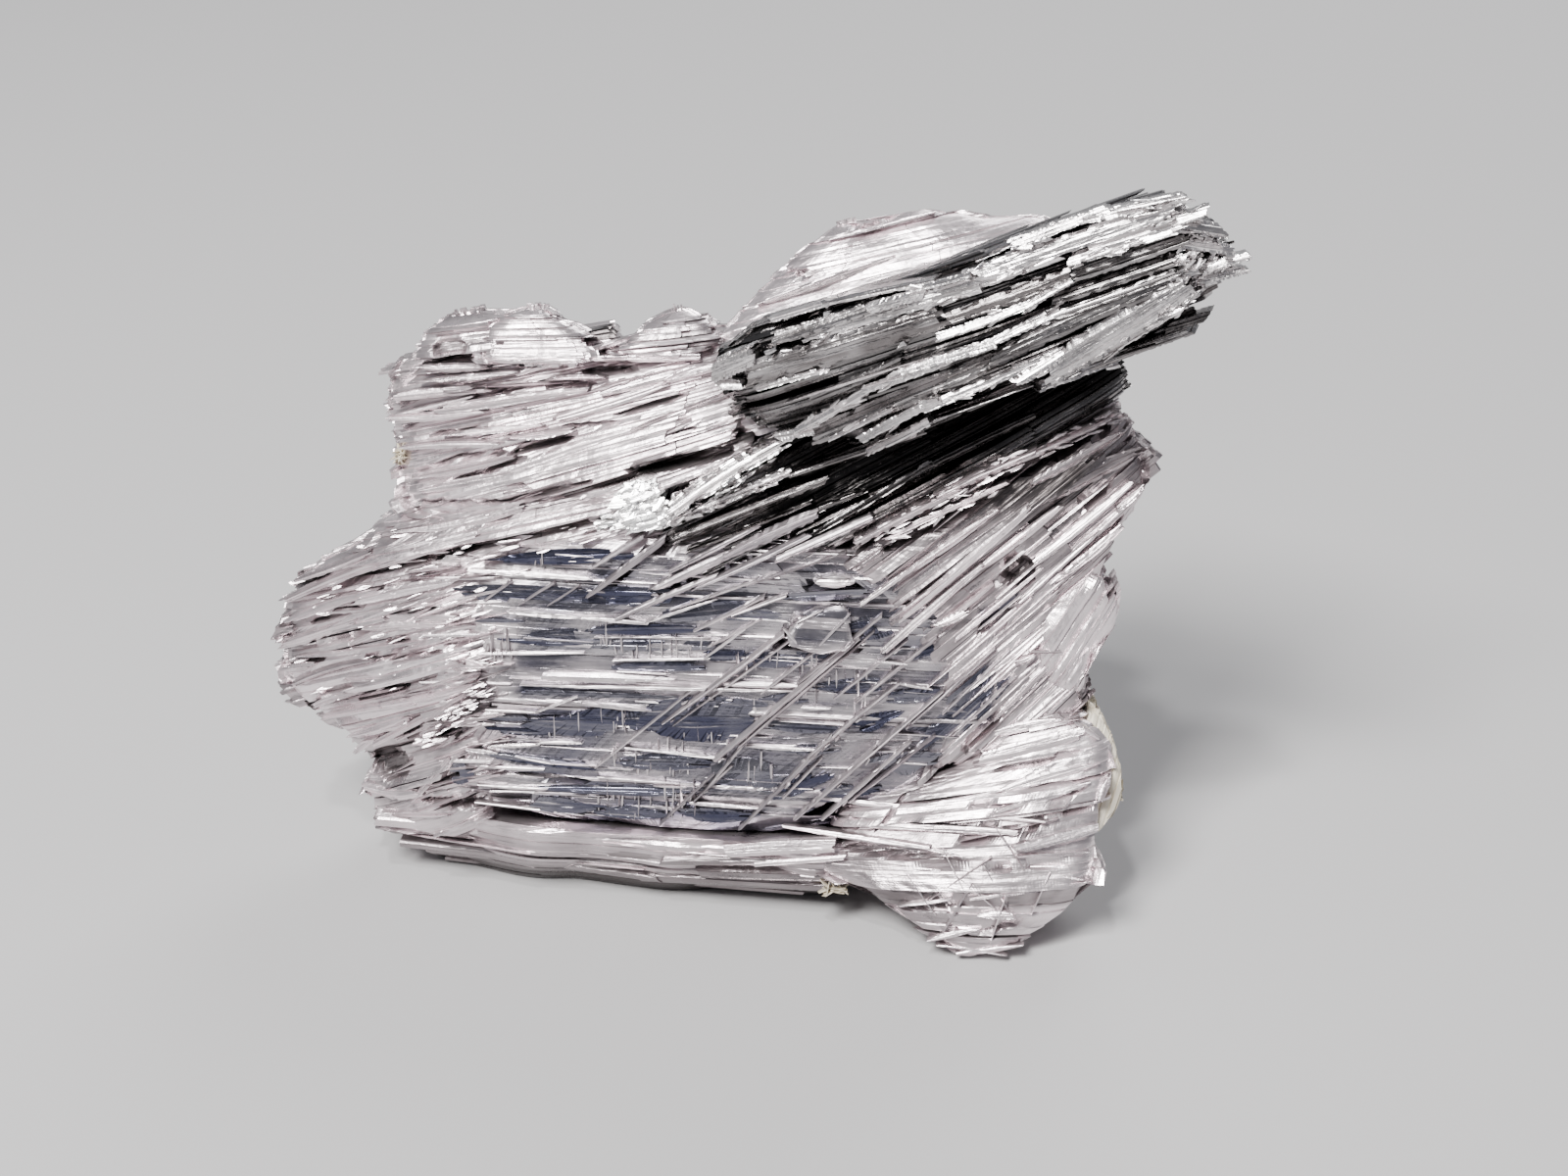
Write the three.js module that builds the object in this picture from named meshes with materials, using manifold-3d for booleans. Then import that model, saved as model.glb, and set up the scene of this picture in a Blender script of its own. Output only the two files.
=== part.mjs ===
// Andorite crystal: one natural, intergrown group of striated sulfosalt crystals, in millimetres.
//
// The group is a broad plate of parallel laths that leans back a little and stands on its broken lower
// edge, with a thick bundle of laths raised on its upper right. Every lath is a flat, many-sided slab with
// oblique broken ends. A sheaf is a set of laths side by side, and all sheaves are grown into one solid.
//
// Shapes are laid out in the plate's own frame: x to the right, s up along the plate, n out of its front.

import * as THREE from "three";
import { mergeVertices } from "three/addons/utils/BufferGeometryUtils.js";
import Module from "manifold-3d";

const wasm = await Module();
wasm.setup();

// Driving dimensions
const PLATE_LEAN = 12; // degrees that the plate leans back from the vertical
const PLATE_PLACE = [-1, -2.2, 0.5]; // the plate frame's origin in the part's frame
const LATH_OVERLAP = 1.3; // width of a lath as a share of the pitch between laths
const LATH_BEVEL = 0.1; // chamfer along a lath's long edges
const END_SLANT = 0.5; // how far a lath's broken end runs back across its width
const STEP_HEIGHT = 0.28; // greatest step up or down between two neighbouring laths
const LATH_TURN = 7; // degrees by which a lath may be turned about its own length
const GROUND_SLAB = { width: 60, depth: 60, height: 12 }; // removed below the surface the group stands on

// Steel-grey sulfosalt with a metallic lustre and a faint warm tarnish
const METAL = new THREE.MeshStandardMaterial({ color: 0x9a938c, roughness: 0.42, metalness: 0.85 });

const radians = THREE.MathUtils.degToRad;

// Repeatable random numbers between -1 and 1.
function scatter(seed) {
  let state = seed * 7919 + 17;
  return () => {
    state = (state * 48271) % 2147483647;
    return (state / 2147483647) * 2 - 1;
  };
}

// Value at share t, from 0 to 1, of a row of evenly spaced values.
function blend(values, t) {
  if (values.length === 1) return values[0];
  const place = t * (values.length - 1);
  const first = Math.min(Math.floor(place), values.length - 2);
  return THREE.MathUtils.lerp(values[first], values[first + 1], place - first);
}

function solidOf(geometry) {
  const bare = geometry.clone();
  bare.deleteAttribute("normal");
  bare.deleteAttribute("uv");
  const merged = mergeVertices(bare, 1e-4);
  const mesh = new wasm.Mesh({
    numProp: 3,
    vertProperties: new Float32Array(merged.attributes.position.array),
    triVerts: new Uint32Array(merged.index.array),
  });
  return new wasm.Manifold(mesh);
}

// Frame with its first axis along a heading in the plate, lifted out of the plate by a dip, and turned
// about that axis by a roll.
function lathFrame(at, heading, dip, roll) {
  const turned = new THREE.Matrix4().makeRotationZ(radians(heading));
  turned.multiply(new THREE.Matrix4().makeRotationY(-radians(dip)));
  turned.multiply(new THREE.Matrix4().makeRotationX(radians(roll)));
  return turned.setPosition(...at);
}

// One lath from u = start to u = end, centred on its axis, with its front face at n = 0.
function lath({ start, end, width, thick, slants, bevel = 0 }) {
  const half = width / 2 - bevel;
  const from = start + bevel;
  const to = end - bevel;
  const outline = new THREE.Shape([
    new THREE.Vector2(from + slants[0], -half),
    new THREE.Vector2(to - slants[1], -half),
    new THREE.Vector2(to, half * slants[4]),
    new THREE.Vector2(to - slants[2], half),
    new THREE.Vector2(from + slants[3], half),
    new THREE.Vector2(from, half * slants[5]),
  ]);
  const slab = new THREE.ExtrudeGeometry(outline, {
    depth: thick - 2 * bevel,
    bevelEnabled: bevel > 0,
    bevelThickness: bevel,
    bevelSize: bevel,
    bevelSegments: 1,
  });
  return slab.translate(0, 0, bevel - thick);
}

// Laths side by side. Starts, ends, fronts and thicks are read across the sheaf, from its first lath to its
// last, and fan is the turn in degrees between those two.
function sheaf({ root, heading, dip = 0, fan = 0, laths, pitch, starts, ends, fronts, thicks, ...finish }) {
  const { seed, step = 1, bevel = 0 } = finish;
  const random = scatter(seed);
  const across = new THREE.Vector3(-Math.sin(radians(heading)), Math.cos(radians(heading)), 0);
  const made = [];
  for (let i = 0; i < laths; i += 1) {
    const t = laths > 1 ? i / (laths - 1) : 0;
    const slants = [0, 1, 2, 3].map(() => END_SLANT * (0.5 + 0.5 * random()));
    slants.push(0.6 * random(), 0.6 * random());
    const piece = lath({
      start: blend(starts, t) + 0.3 * random(),
      end: blend(ends, t) + 0.3 * random(),
      width: pitch * LATH_OVERLAP,
      thick: blend(thicks, t) + 0.3 * random(),
      slants,
      bevel,
    });
    const at = new THREE.Vector3(...root).addScaledVector(across, i * pitch);
    at.z += blend(fronts, t) + STEP_HEIGHT * step * random();
    const turn = heading + fan * (t - 0.5);
    piece.applyMatrix4(lathFrame(at, turn, dip, LATH_TURN * random()));
    made.push(solidOf(piece));
  }
  return made;
}

// The flat face of the group: horizontal laths that make the middle of the plate.
function middleFace() {
  return sheaf({
    root: [-7.2, 1.7, -0.5],
    heading: -1,
    dip: 7,
    laths: 16,
    pitch: 0.61,
    starts: [0.3, 0, 0.2, 0, 1],
    ends: [11.5, 14, 16, 15, 12, 9],
    fronts: [0.3, 0.2, 0.1, 0, 0, -0.1],
    thicks: [5.6, 5.2, 4.6, 4],
    seed: 3,
  });
}

// Rounded wing on the left, made of overlapping plates.
function leftWing() {
  return sheaf({
    root: [-9.6, 2.4, -2],
    heading: 8,
    dip: 10,
    laths: 12,
    pitch: 0.75,
    fan: 12,
    starts: [0.1, -0.2, -1.2, -2.1, -2.7, -2.4, -0.9, 1.2, 1.8],
    ends: [4.2, 4.6, 5, 6, 8],
    fronts: [0, 0.2, 0.3, 0.2, -0.1],
    thicks: [3.6, 3, 2.6, 2.2],
    seed: 5,
    step: 1.3,
  });
}

// Wing on the upper left, whose laths rise to the right and run under the raised bundle.
function upperLeftWing() {
  return sheaf({
    root: [-8.4, 10.6, -1.9],
    heading: 14,
    dip: 13,
    laths: 9,
    pitch: 0.56,
    fan: -6,
    starts: [0.2, 0.1, -0.2, 0.6, 2.4],
    ends: [8.4, 9.4, 9.3, 6.8, 5],
    fronts: [0, 0.2, 0.1, 0, -0.2],
    thicks: [3.4, 3, 2.6, 2.4],
    seed: 7,
  });
}

// Low lobes along the top edge, the larger one behind the raised bundle.
function topLobes() {
  const small = sheaf({
    root: [-2.9, 13.9, -0.9],
    heading: 12,
    dip: 4,
    laths: 3,
    pitch: 0.65,
    starts: [0, 0.2, 0.6],
    ends: [3.7, 3.6, 3],
    fronts: [0],
    thicks: [2.4],
    seed: 11,
  });
  const large = sheaf({
    root: [1.1, 13.3, -1.3],
    heading: 16,
    dip: 1,
    laths: 8,
    pitch: 0.5,
    fan: -8,
    starts: [0, 0.2, 0.5, 1.2, 3.6],
    ends: [9.6, 9.4, 9, 7.6, 5.4],
    fronts: [0.2, 0.1, 0, -0.2],
    thicks: [3, 2.6, 2.2],
    seed: 13,
  });
  return [...small, ...large];
}

// Right part of the plate, whose laths run steeply up to the right.
function rightWing() {
  const steep = sheaf({
    root: [6.1, 3.9, 0.6],
    heading: 40,
    dip: 4,
    laths: 13,
    pitch: 0.72,
    fan: -8,
    starts: [1.6, 0.6, -0.2, -1, -1.2, -0.4, 1],
    ends: [5.2, 7.4, 9.2, 10.8, 11.4, 10.6, 7],
    fronts: [-0.3, 0, 0.2, 0.2, 0.1, 0],
    thicks: [4, 3.6, 3.2, 3],
    seed: 17,
    step: 1.2,
  });
  const backLobe = sheaf({
    root: [7.6, 4.9, -0.4],
    heading: 32,
    laths: 5,
    pitch: 0.8,
    starts: [0, 0, 0],
    ends: [3.4, 4.9, 6.2, 6],
    fronts: [0, 0.2, 0.1],
    thicks: [2.6, 2.2],
    seed: 19,
  });
  return [...steep, ...backLobe];
}

// Narrow ridges that cross the middle face: distance to the right of the first one, start, end and width.
function crossingRidges() {
  const ridges = [
    { over: 0, start: 0, end: 5.4, width: 0.34 },
    { over: 1.15, start: 2.2, end: 6.4, width: 0.3 },
    { over: 2, start: 3.1, end: 8.2, width: 0.42 },
    { over: 2.5, start: 0.7, end: 4.2, width: 0.36 },
    { over: 3.2, start: 2.6, end: 7.4, width: 0.3 },
    { over: 3.9, start: 2.2, end: 8.2, width: 0.42 },
    { over: 4.5, start: 3.7, end: 7.6, width: 0.38 },
    { over: 5.1, start: 4.4, end: 9.2, width: 0.42 },
    { over: 5.8, start: 4.8, end: 8, width: 0.36 },
    { over: 6.3, start: 5.2, end: 7.2, width: 0.34 },
  ];
  const heading = 41;
  const dip = 2.5;
  return ridges.map(({ over, start, end, width }, i) => {
    const random = scatter(30 + i);
    const slants = [0.1, 0.4, 0.1, 0.5, 0.4 * random(), 0.4 * random()];
    const piece = lath({ start, end, width: width + 0.2, thick: 1.3, slants });
    const at = [-3.1 + over * Math.sin(radians(heading)), 3.6 - over * Math.cos(radians(heading)), 0.62];
    at[2] += 0.09 * over;
    return solidOf(piece.applyMatrix4(lathFrame(at, heading, dip, 12 * random())));
  });
}

// Horizontal prism along the foot, undercut below its bright upper edge.
function footRod() {
  return sheaf({
    root: [-9.1, -0.3, -1.5],
    heading: -1.5,
    dip: 8,
    laths: 5,
    pitch: 0.56,
    starts: [1.1, 0.5, 0.1, 0, 0.2],
    ends: [12, 12.8, 13.2, 13.1, 12.6],
    fronts: [-0.2, 0.1, 0.45, 0.75, 0.6],
    thicks: [4.6],
    seed: 41,
    step: 0.5,
  });
}

// Fan on the lower right that folds forward down to the ground.
function footFan() {
  const folds = sheaf({
    root: [3.4, -1.1, 2.1],
    heading: 5,
    dip: 7,
    laths: 11,
    pitch: 0.63,
    fan: 16,
    starts: [3, 1.7, 0.8, 0, 0.4, 1.6, 3.2, 4.6],
    ends: [4.8, 5.9, 7.2, 8.2, 8.8, 8.7, 7.9, 6],
    fronts: [0.5, 0.45, 0.2, -0.3, -0.6, -0.9],
    thicks: [3.4, 4.2, 4.4, 4],
    seed: 43,
    step: 1.2,
  });
  const needle = lath({ start: 0, end: 8.6, width: 0.5, thick: 1.2, slants: [0.1, 0.5, 0.2, 0.4, 0, 0.3] });
  folds.push(solidOf(needle.applyMatrix4(lathFrame([2.3, 2.35, 1.9], -8, 9, 10))));
  return folds;
}

// Raised bundle: two layers of laths whose left ends step down to the plate and whose right ends overhang.
function raisedBundle() {
  const body = sheaf({
    root: [1.7, 12.6, 3.1],
    heading: 17,
    dip: 8,
    laths: 11,
    pitch: 0.43,
    fan: -4,
    starts: [2.2, 1.6, 0.5, -0.2, 0.1, -0.2, 0.6, 2.6, 5.4],
    ends: [9.6, 11, 11.8, 12.6, 13.6, 13.8, 13.2, 12.4, 11.4],
    fronts: [0.1, 0.5, 0.8, 1.1, 1.2, 1, 0.6, 0.1],
    thicks: [1.4, 1.8, 2.6, 3.2, 3.4, 3.2, 2.8],
    seed: 47,
    step: 1.3,
    bevel: LATH_BEVEL,
  });
  const crest = sheaf({
    root: [1.8, 13.9, 4.4],
    heading: 14.5,
    dip: 9,
    laths: 6,
    pitch: 0.48,
    fan: -5,
    starts: [1.6, 0.2, 0, 1.4, 4.2],
    ends: [5.6, 8.2, 10.4, 11.2, 10.6],
    fronts: [0, 0.3, 0.3, -0.1],
    thicks: [1.4],
    seed: 53,
    step: 1.2,
  });
  const blade = lath({ start: 0, end: 5.4, width: 1.2, thick: 1, slants: [0.3, 0.9, 0.2, 0.8, 0.1, -0.2] });
  body.push(solidOf(blade.applyMatrix4(lathFrame([7.6, 14.7, 4.7], 22, 8, -24))));
  return [...body, ...crest];
}

// Root of the raised bundle, where it joins the plate.
function bundleRoot() {
  return sheaf({
    root: [2.4, 13.2, 1.9],
    heading: 17,
    dip: 5,
    laths: 5,
    pitch: 0.8,
    starts: [1.2, 0.6, 0.4, 1.2],
    ends: [9.4, 9.6, 9.2, 8.4],
    fronts: [0.2, 0.8, 0.9],
    thicks: [3.6],
    seed: 59,
  });
}

// Second, lower bundle under the raised one, and the ledges that step down from it to the plate.
function lowerBundle() {
  const upper = sheaf({
    root: [-0.6, 10.9, 1.6],
    heading: 19,
    dip: 3,
    laths: 6,
    pitch: 0.42,
    fan: -3,
    starts: [0.6, -0.2, 0, 0.5, 1.2, 1.9],
    ends: [12, 12.3, 12, 11, 9],
    fronts: [0.1, 0.5, 0.7, 0.6, 0.4],
    thicks: [3],
    seed: 61,
    step: 1.2,
  });
  const ledges = sheaf({
    root: [-0.3, 9.2, 0.7],
    heading: 27,
    dip: 3,
    laths: 4,
    pitch: 0.52,
    fan: -8,
    starts: [1.6, 0.6, 0, -0.2],
    ends: [7.4, 10.4, 12.4, 12.6],
    fronts: [0, 0.2, 0.3],
    thicks: [2.6],
    seed: 67,
  });
  return [...upper, ...ledges];
}

// Stepped laths on the back, thickest at the foot, where they widen what the group stands on.
function backLaths() {
  const heel = sheaf({
    root: [-7.4, 0.2, -4.4],
    heading: 2,
    dip: 3,
    laths: 6,
    pitch: 0.85,
    starts: [0.6, 0, 0.4, 1.2],
    ends: [14.6, 15.2, 14, 11.4],
    fronts: [0],
    thicks: [2.3, 2, 1.5, 1],
    seed: 71,
    step: 0.8,
  });
  const upper = sheaf({
    root: [-4.6, 5.6, -2.9],
    heading: 20,
    dip: 2,
    laths: 9,
    pitch: 0.95,
    starts: [0, 0.6, 1.6, 2.4],
    ends: [11.5, 13, 13, 11],
    fronts: [0, 0, 0.3, 0.6],
    thicks: [1.9, 1.7, 1.6, 1.4],
    seed: 73,
    step: 1.2,
  });
  return [...heel, ...upper];
}

// Open pits between the laths: centre, radius and depth of each.
function pits() {
  const places = [
    { at: [-9.1, 2.9, -1.6], radius: 0.7, depth: 1.4 },
    { at: [-7, 15.3, -1], radius: 0.55, depth: 1.6 },
    { at: [9, 9.6, 1.7], radius: 0.4, depth: 1.2 },
    { at: [6.9, 4.4, 1.8], radius: 0.5, depth: 0.8 },
  ];
  return places.map(({ at, radius, depth }) => {
    const hole = new THREE.CylinderGeometry(radius, radius * 0.5, depth + 1, 6);
    hole.rotateX(Math.PI / 2);
    hole.scale(1.5, 0.9, 1);
    return solidOf(hole.translate(at[0], at[1], at[2] + 0.5 - depth / 2));
  });
}

// Plate frame to part frame: leaned back, then set in place.
function plateToPart() {
  const lean = radians(PLATE_LEAN);
  const x = new THREE.Vector3(1, 0, 0);
  const s = new THREE.Vector3(0, Math.sin(lean), Math.cos(lean));
  const n = new THREE.Vector3(0, -Math.cos(lean), Math.sin(lean));
  return new THREE.Matrix4().makeBasis(x, s, n).setPosition(...PLATE_PLACE);
}

function geometryOf(solid) {
  const mesh = solid.getMesh();
  const geometry = new THREE.BufferGeometry();
  geometry.setAttribute("position", new THREE.BufferAttribute(new Float32Array(mesh.vertProperties), 3));
  geometry.setIndex(new THREE.BufferAttribute(new Uint32Array(mesh.triVerts), 1));
  return geometry;
}

const grown = [
  ...middleFace(),
  ...leftWing(),
  ...upperLeftWing(),
  ...topLobes(),
  ...rightWing(),
  ...crossingRidges(),
  ...footRod(),
  ...footFan(),
  ...bundleRoot(),
  ...raisedBundle(),
  ...lowerBundle(),
  ...backLaths(),
];
let cluster = grown.reduce((whole, piece) => whole.add(piece));
pits().forEach((pit) => {
  cluster = cluster.subtract(pit);
});
cluster = solidOf(geometryOf(cluster).applyMatrix4(plateToPart()));

const ground = new THREE.BoxGeometry(GROUND_SLAB.width, GROUND_SLAB.depth, GROUND_SLAB.height);
ground.translate(0, 0, -GROUND_SLAB.height / 2);
cluster = cluster.subtract(solidOf(ground));

// Air closed in between laths is filled, because only the outer skin is kept.
cluster = cluster.decompose().reduce((outer, shell) => (shell.volume() > outer.volume() ? shell : outer));

const shape = geometryOf(cluster);
shape.computeVertexNormals();
const crystals = new THREE.Mesh(shape, METAL);
crystals.name = "andorite_cluster";

const specimen = new THREE.Group();
specimen.add(crystals);

export default specimen;
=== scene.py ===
import math

import bpy
import numpy as np
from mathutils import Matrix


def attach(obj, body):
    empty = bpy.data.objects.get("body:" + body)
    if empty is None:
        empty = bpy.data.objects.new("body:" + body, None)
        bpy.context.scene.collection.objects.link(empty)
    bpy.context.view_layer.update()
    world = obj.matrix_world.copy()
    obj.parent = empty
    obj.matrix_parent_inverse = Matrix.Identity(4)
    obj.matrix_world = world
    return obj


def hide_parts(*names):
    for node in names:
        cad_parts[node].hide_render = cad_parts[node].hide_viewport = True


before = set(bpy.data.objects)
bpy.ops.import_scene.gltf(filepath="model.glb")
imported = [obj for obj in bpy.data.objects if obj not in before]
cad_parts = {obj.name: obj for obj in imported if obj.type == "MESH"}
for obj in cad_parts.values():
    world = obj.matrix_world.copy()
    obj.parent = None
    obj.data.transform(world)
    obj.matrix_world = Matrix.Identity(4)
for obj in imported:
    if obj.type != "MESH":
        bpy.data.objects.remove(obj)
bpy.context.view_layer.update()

# --- Camera ---
# A 60 mm lens on a sensor 36 mm wide, about 73 mm from the specimen. It looks down at 25 degrees, square
# to the striated face.
MM = 0.001
camera_data = bpy.data.cameras.new("camera")
camera_data.lens = 60
camera_data.sensor_width = 36
camera_data.clip_start = 1 * MM
camera = bpy.data.objects.new("camera", camera_data)
camera.location = (1.24 * MM, -66.29 * MM, 39.81 * MM)
camera.rotation_euler.x = math.radians(65)
bpy.context.collection.objects.link(camera)
bpy.context.scene.camera = camera

# --- Floor and studio light ---
# A plain pale floor under a grey surround. A broad key light stands in front, to the left and above, a
# small one beside it makes sharp glints, and a weak one lights the outline from behind.
floor_mesh = bpy.data.meshes.new("floor")
REACH = 3
floor_corners = [(-REACH, -REACH, 0), (REACH, -REACH, 0), (REACH, REACH, 0), (-REACH, REACH, 0)]
floor_mesh.from_pydata(floor_corners, [], [(0, 1, 2, 3)])
floor = bpy.data.objects.new("floor", floor_mesh)
bpy.context.collection.objects.link(floor)
floor_finish = bpy.data.materials.new("pale_floor")
floor_finish.use_nodes = True
floor_shader = floor_finish.node_tree.nodes["Principled BSDF"]
floor_shader.inputs["Base Color"].default_value = (0.5, 0.495, 0.5, 1)
floor_shader.inputs["Roughness"].default_value = 0.85
floor_mesh.materials.append(floor_finish)

surround = bpy.data.worlds.new("surround")
surround.use_nodes = True
glow = surround.node_tree.nodes["Background"]
glow.inputs["Color"].default_value = (0.5, 0.51, 0.55, 1)
glow.inputs["Strength"].default_value = 0.44
bpy.context.scene.world = surround


def softbox(name, place, size, watts, tint=(1, 1, 1)):
    """Square area light at place, turned so that it shines at the specimen's middle."""
    light = bpy.data.lights.new(name, "AREA")
    light.size = size
    light.energy = watts
    light.color = tint
    lamp = bpy.data.objects.new(name, light)
    lamp.location = place
    way = np.array([0, 0, 10 * MM]) - np.array(place)
    flat = math.hypot(way[0], way[1])
    lamp.rotation_euler = (math.atan2(flat, -way[2]), 0, math.atan2(way[1], way[0]) - math.pi / 2)
    bpy.context.collection.objects.link(lamp)


softbox("key_light", place=(-0.10, -0.17, 0.23), size=0.09, watts=1.7, tint=(1, 0.985, 0.965))
softbox("spark_light", place=(-0.05, -0.14, 0.30), size=0.02, watts=0.4)
softbox("back_light", place=(0.08, 0.22, 0.2), size=0.16, watts=0.5)

# --- Middle face ---
# The flat face of the plate: thin parallel laths of sulfosalt grown side by side, with mirror-smooth facets
# painted dark as a reflection of dark surroundings, pale tarnished ledges between them and short pale hairs.
# All pieces lie in the plate's own frame, in millimetres: x to the right, s up the plate and n out of its
# front.
PLATE_LEAN = math.radians(12)
PLATE_PLACE = np.array([-1.0, -2.2, 0.5])


def plate_to_row(x, s, n):
    """Metres of plate millimetres (x to the right, s up the plate, n out of its front): s and n turned back
    by the lean, moved to the plate's place, and held at or above the ground."""
    y = s * math.sin(PLATE_LEAN) - n * math.cos(PLATE_LEAN)
    z = s * math.cos(PLATE_LEAN) + n * math.sin(PLATE_LEAN)
    row = np.stack([x, y, z], -1) + PLATE_PLACE
    row[..., 2] = np.maximum(row[..., 2], 0)
    return row * MM


def rounded_outline(corners, steps=6):
    """Closed outline through the corners, each side a Catmull-Rom curve of the given number of steps."""
    p = np.asarray(corners, float)[:, None, :]
    a, b, c, d = np.roll(p, 1, 0), p, np.roll(p, -1, 0), np.roll(p, -2, 0)
    f = (np.arange(steps) / steps)[None, :, None]
    side = 2 * b + (c - a) * f + (2 * a - 5 * b + 4 * c - d) * f**2 + (3 * b - a - 3 * c + d) * f**3
    return (side / 2).reshape(-1, 2)


def within(edge, x, s):
    """Whether points lie inside a closed outline, by counting its crossings to the right of each point."""
    (x0, s0), (x1, s1) = edge.T, np.roll(edge, -1, 0).T
    spans = (s0 <= s[..., None]) != (s1 <= s[..., None])
    crossing = x0 + (s[..., None] - s0) * (x1 - x0) / (s1 - s0 + 1e-12)
    return (spans & (x[..., None] < crossing)).sum(-1) % 2 == 1


def outline_gap(edge, x, s):
    """Distance from points to the nearest place on a closed outline."""
    near = np.full(x.shape, 1e9)
    for start, end in zip(edge, np.roll(edge, -1, 0)):
        way = end - start
        share = np.clip(((x - start[0]) * way[0] + (s - start[1]) * way[1]) / (way @ way + 1e-12), 0, 1)
        near = np.minimum(near, np.hypot(x - start[0] - share * way[0], s - start[1] - share * way[1]))
    return near


def relief(points):
    """Smooth height through given (x, s, height) points, but for a little softness: the thin-plate spline,
    whose bending is least."""
    p = np.asarray(points, float)

    def bowl(x, s):
        square = (x[..., None] - p[:, 0]) ** 2 + (s[..., None] - p[:, 1]) ** 2
        return square * np.log(square + 1e-9)

    softness = 0.05
    flat = np.column_stack([np.ones(len(p)), p[:, 0], p[:, 1]])
    bend = bowl(p[:, 0], p[:, 1]) + softness * np.eye(len(p))
    system = np.block([[bend, flat], [flat.T, np.zeros((3, 3))]])
    weights = np.linalg.solve(system, np.concatenate([p[:, 2], np.zeros(3)]))
    return lambda x, s: bowl(x, s) @ weights[:-3] + weights[-3] + weights[-2] * x + weights[-1] * s


def ripple(x, s, seed, size):
    """Smooth noise from about -1 to 1: twice the mean of nine sine waves of random heading and phase, each
    about size mm long."""
    rng = np.random.default_rng(seed)
    total = np.zeros(np.broadcast(x, s).shape)
    waves = 9
    for _ in range(waves):
        heading, phase = rng.uniform(0, 2 * math.pi, 2)
        k = 2 * math.pi / (size * rng.uniform(0.7, 1.6))
        total += np.sin(k * (x * math.cos(heading) + s * math.sin(heading)) + phase)
    return total * 2 / waves


def plan(outline, heading, front, lift=0.0, cant=0.0, fan=0.0, bend=0.0, root=None):
    """Plan of a plate of laths: its rounded outline, the range of v across it, and where each lath enters
    and leaves the outline.

    A lath's path starts at the root (the outline's middle unless given), moved v across the heading, and
    runs at the heading plus the fan times its share across, turning by the bend with every mm.
    """
    edge = rounded_outline(outline)
    root = edge.mean(0) if root is None else np.array(root, float)
    made = {"edge": edge, "heading": heading, "front": front, "lift": lift, "cant": cant, "fan": fan,
            "bend": math.radians(bend) + 1e-9, "root": root}
    angle = math.radians(heading)
    sideways = (edge - made["root"]) @ np.array([-math.sin(angle), math.cos(angle)])
    made["low"], made["high"] = sideways.min(), sideways.max()
    reach, samples = 24, 481
    u = np.linspace(-reach, reach, samples)[None, :]
    for _ in range(3):
        v = np.linspace(made["low"], made["high"], 121)[:, None]
        x, s, _ = on_plan(made, u, v, False)
        hit = within(edge, x, s)
        rows = hit.any(1)
        made["low"], made["high"] = v[rows].min(), v[rows].max()
    made["v"] = v[rows, 0]
    made["begin"] = u[0, hit[rows].argmax(1)]
    made["finish"] = u[0, samples - 1 - hit[rows][:, ::-1].argmax(1)]
    return made


def on_plan(made, u, v, heights=True):
    """Plate x, s and mean height at u along and v across a plan's laths, in mm."""
    t = (v - made["low"]) / (made["high"] - made["low"])
    angle = math.radians(made["heading"])
    way = angle + np.radians(made["fan"]) * (t - 0.5)
    turn = made["bend"]
    x = made["root"][0] - math.sin(angle) * v + (np.sin(way + turn * u) - np.sin(way)) / turn
    s = made["root"][1] + math.cos(angle) * v + (np.cos(way) - np.cos(way + turn * u)) / turn
    if not heights:
        return x, s, None
    across = v - (made["low"] + made["high"]) / 2
    return x, s, made["front"](x, s) + made["lift"] - across * math.tan(math.radians(made["cant"]))


def around(front_values, back_values):
    """Rows of points along the front and back again along the back, so that each row goes right round."""
    return np.concatenate([front_values, back_values[..., ::-1, :]], -2)


def closed(points, grain, masks, side=1):
    """Closed solids from arrays (solids, rows, points round, 3), with quads between rows and end caps."""
    solids, rows, girth = points.shape[:3]
    r, j = np.meshgrid(np.arange(rows - 1), np.arange(girth), indexing="ij")
    k = (j + 1) % girth
    skin = np.stack([r * girth + j, r * girth + k, (r + 1) * girth + k, (r + 1) * girth + j], -1)
    i = np.arange(girth // 2 - 1)
    cap = np.stack([i, girth - 1 - i, girth - 2 - i, i + 1], -1)
    far_cap = (cap + (rows - 1) * girth)[:, ::-1]
    faces = np.concatenate([skin.reshape(-1, 4), cap, far_cap])[:, ::side]
    faces = faces[None] + (np.arange(solids) * rows * girth)[:, None, None]
    return {"points": points.reshape(-1, 3), "faces": faces.reshape(-1, 4), "grain": grain.reshape(-1, 2),
            "masks": {name: values.reshape(-1) for name, values in masks.items()}}


def cuts(x, s, slots):
    """Depth of the slots (x and s of both ends, width, depth): full on a slot's line, and fading past half
    its width, which narrows to both ends."""
    deep = np.zeros(np.broadcast(x, s).shape)
    for x0, s0, x1, s1, width, depth in slots:
        way = np.array([x1 - x0, s1 - s0])
        share = np.clip(((x - x0) * way[0] + (s - s0) * way[1]) / (way @ way), 0, 1)
        gap = np.hypot(x - x0 - share * way[0], s - s0 - share * way[1])
        half = 0.5 * width * (0.35 + 0.65 * np.sin(math.pi * share) ** 0.5)
        deep = np.maximum(deep, depth * np.exp(-((gap / half) ** 4)))
    return deep


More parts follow.
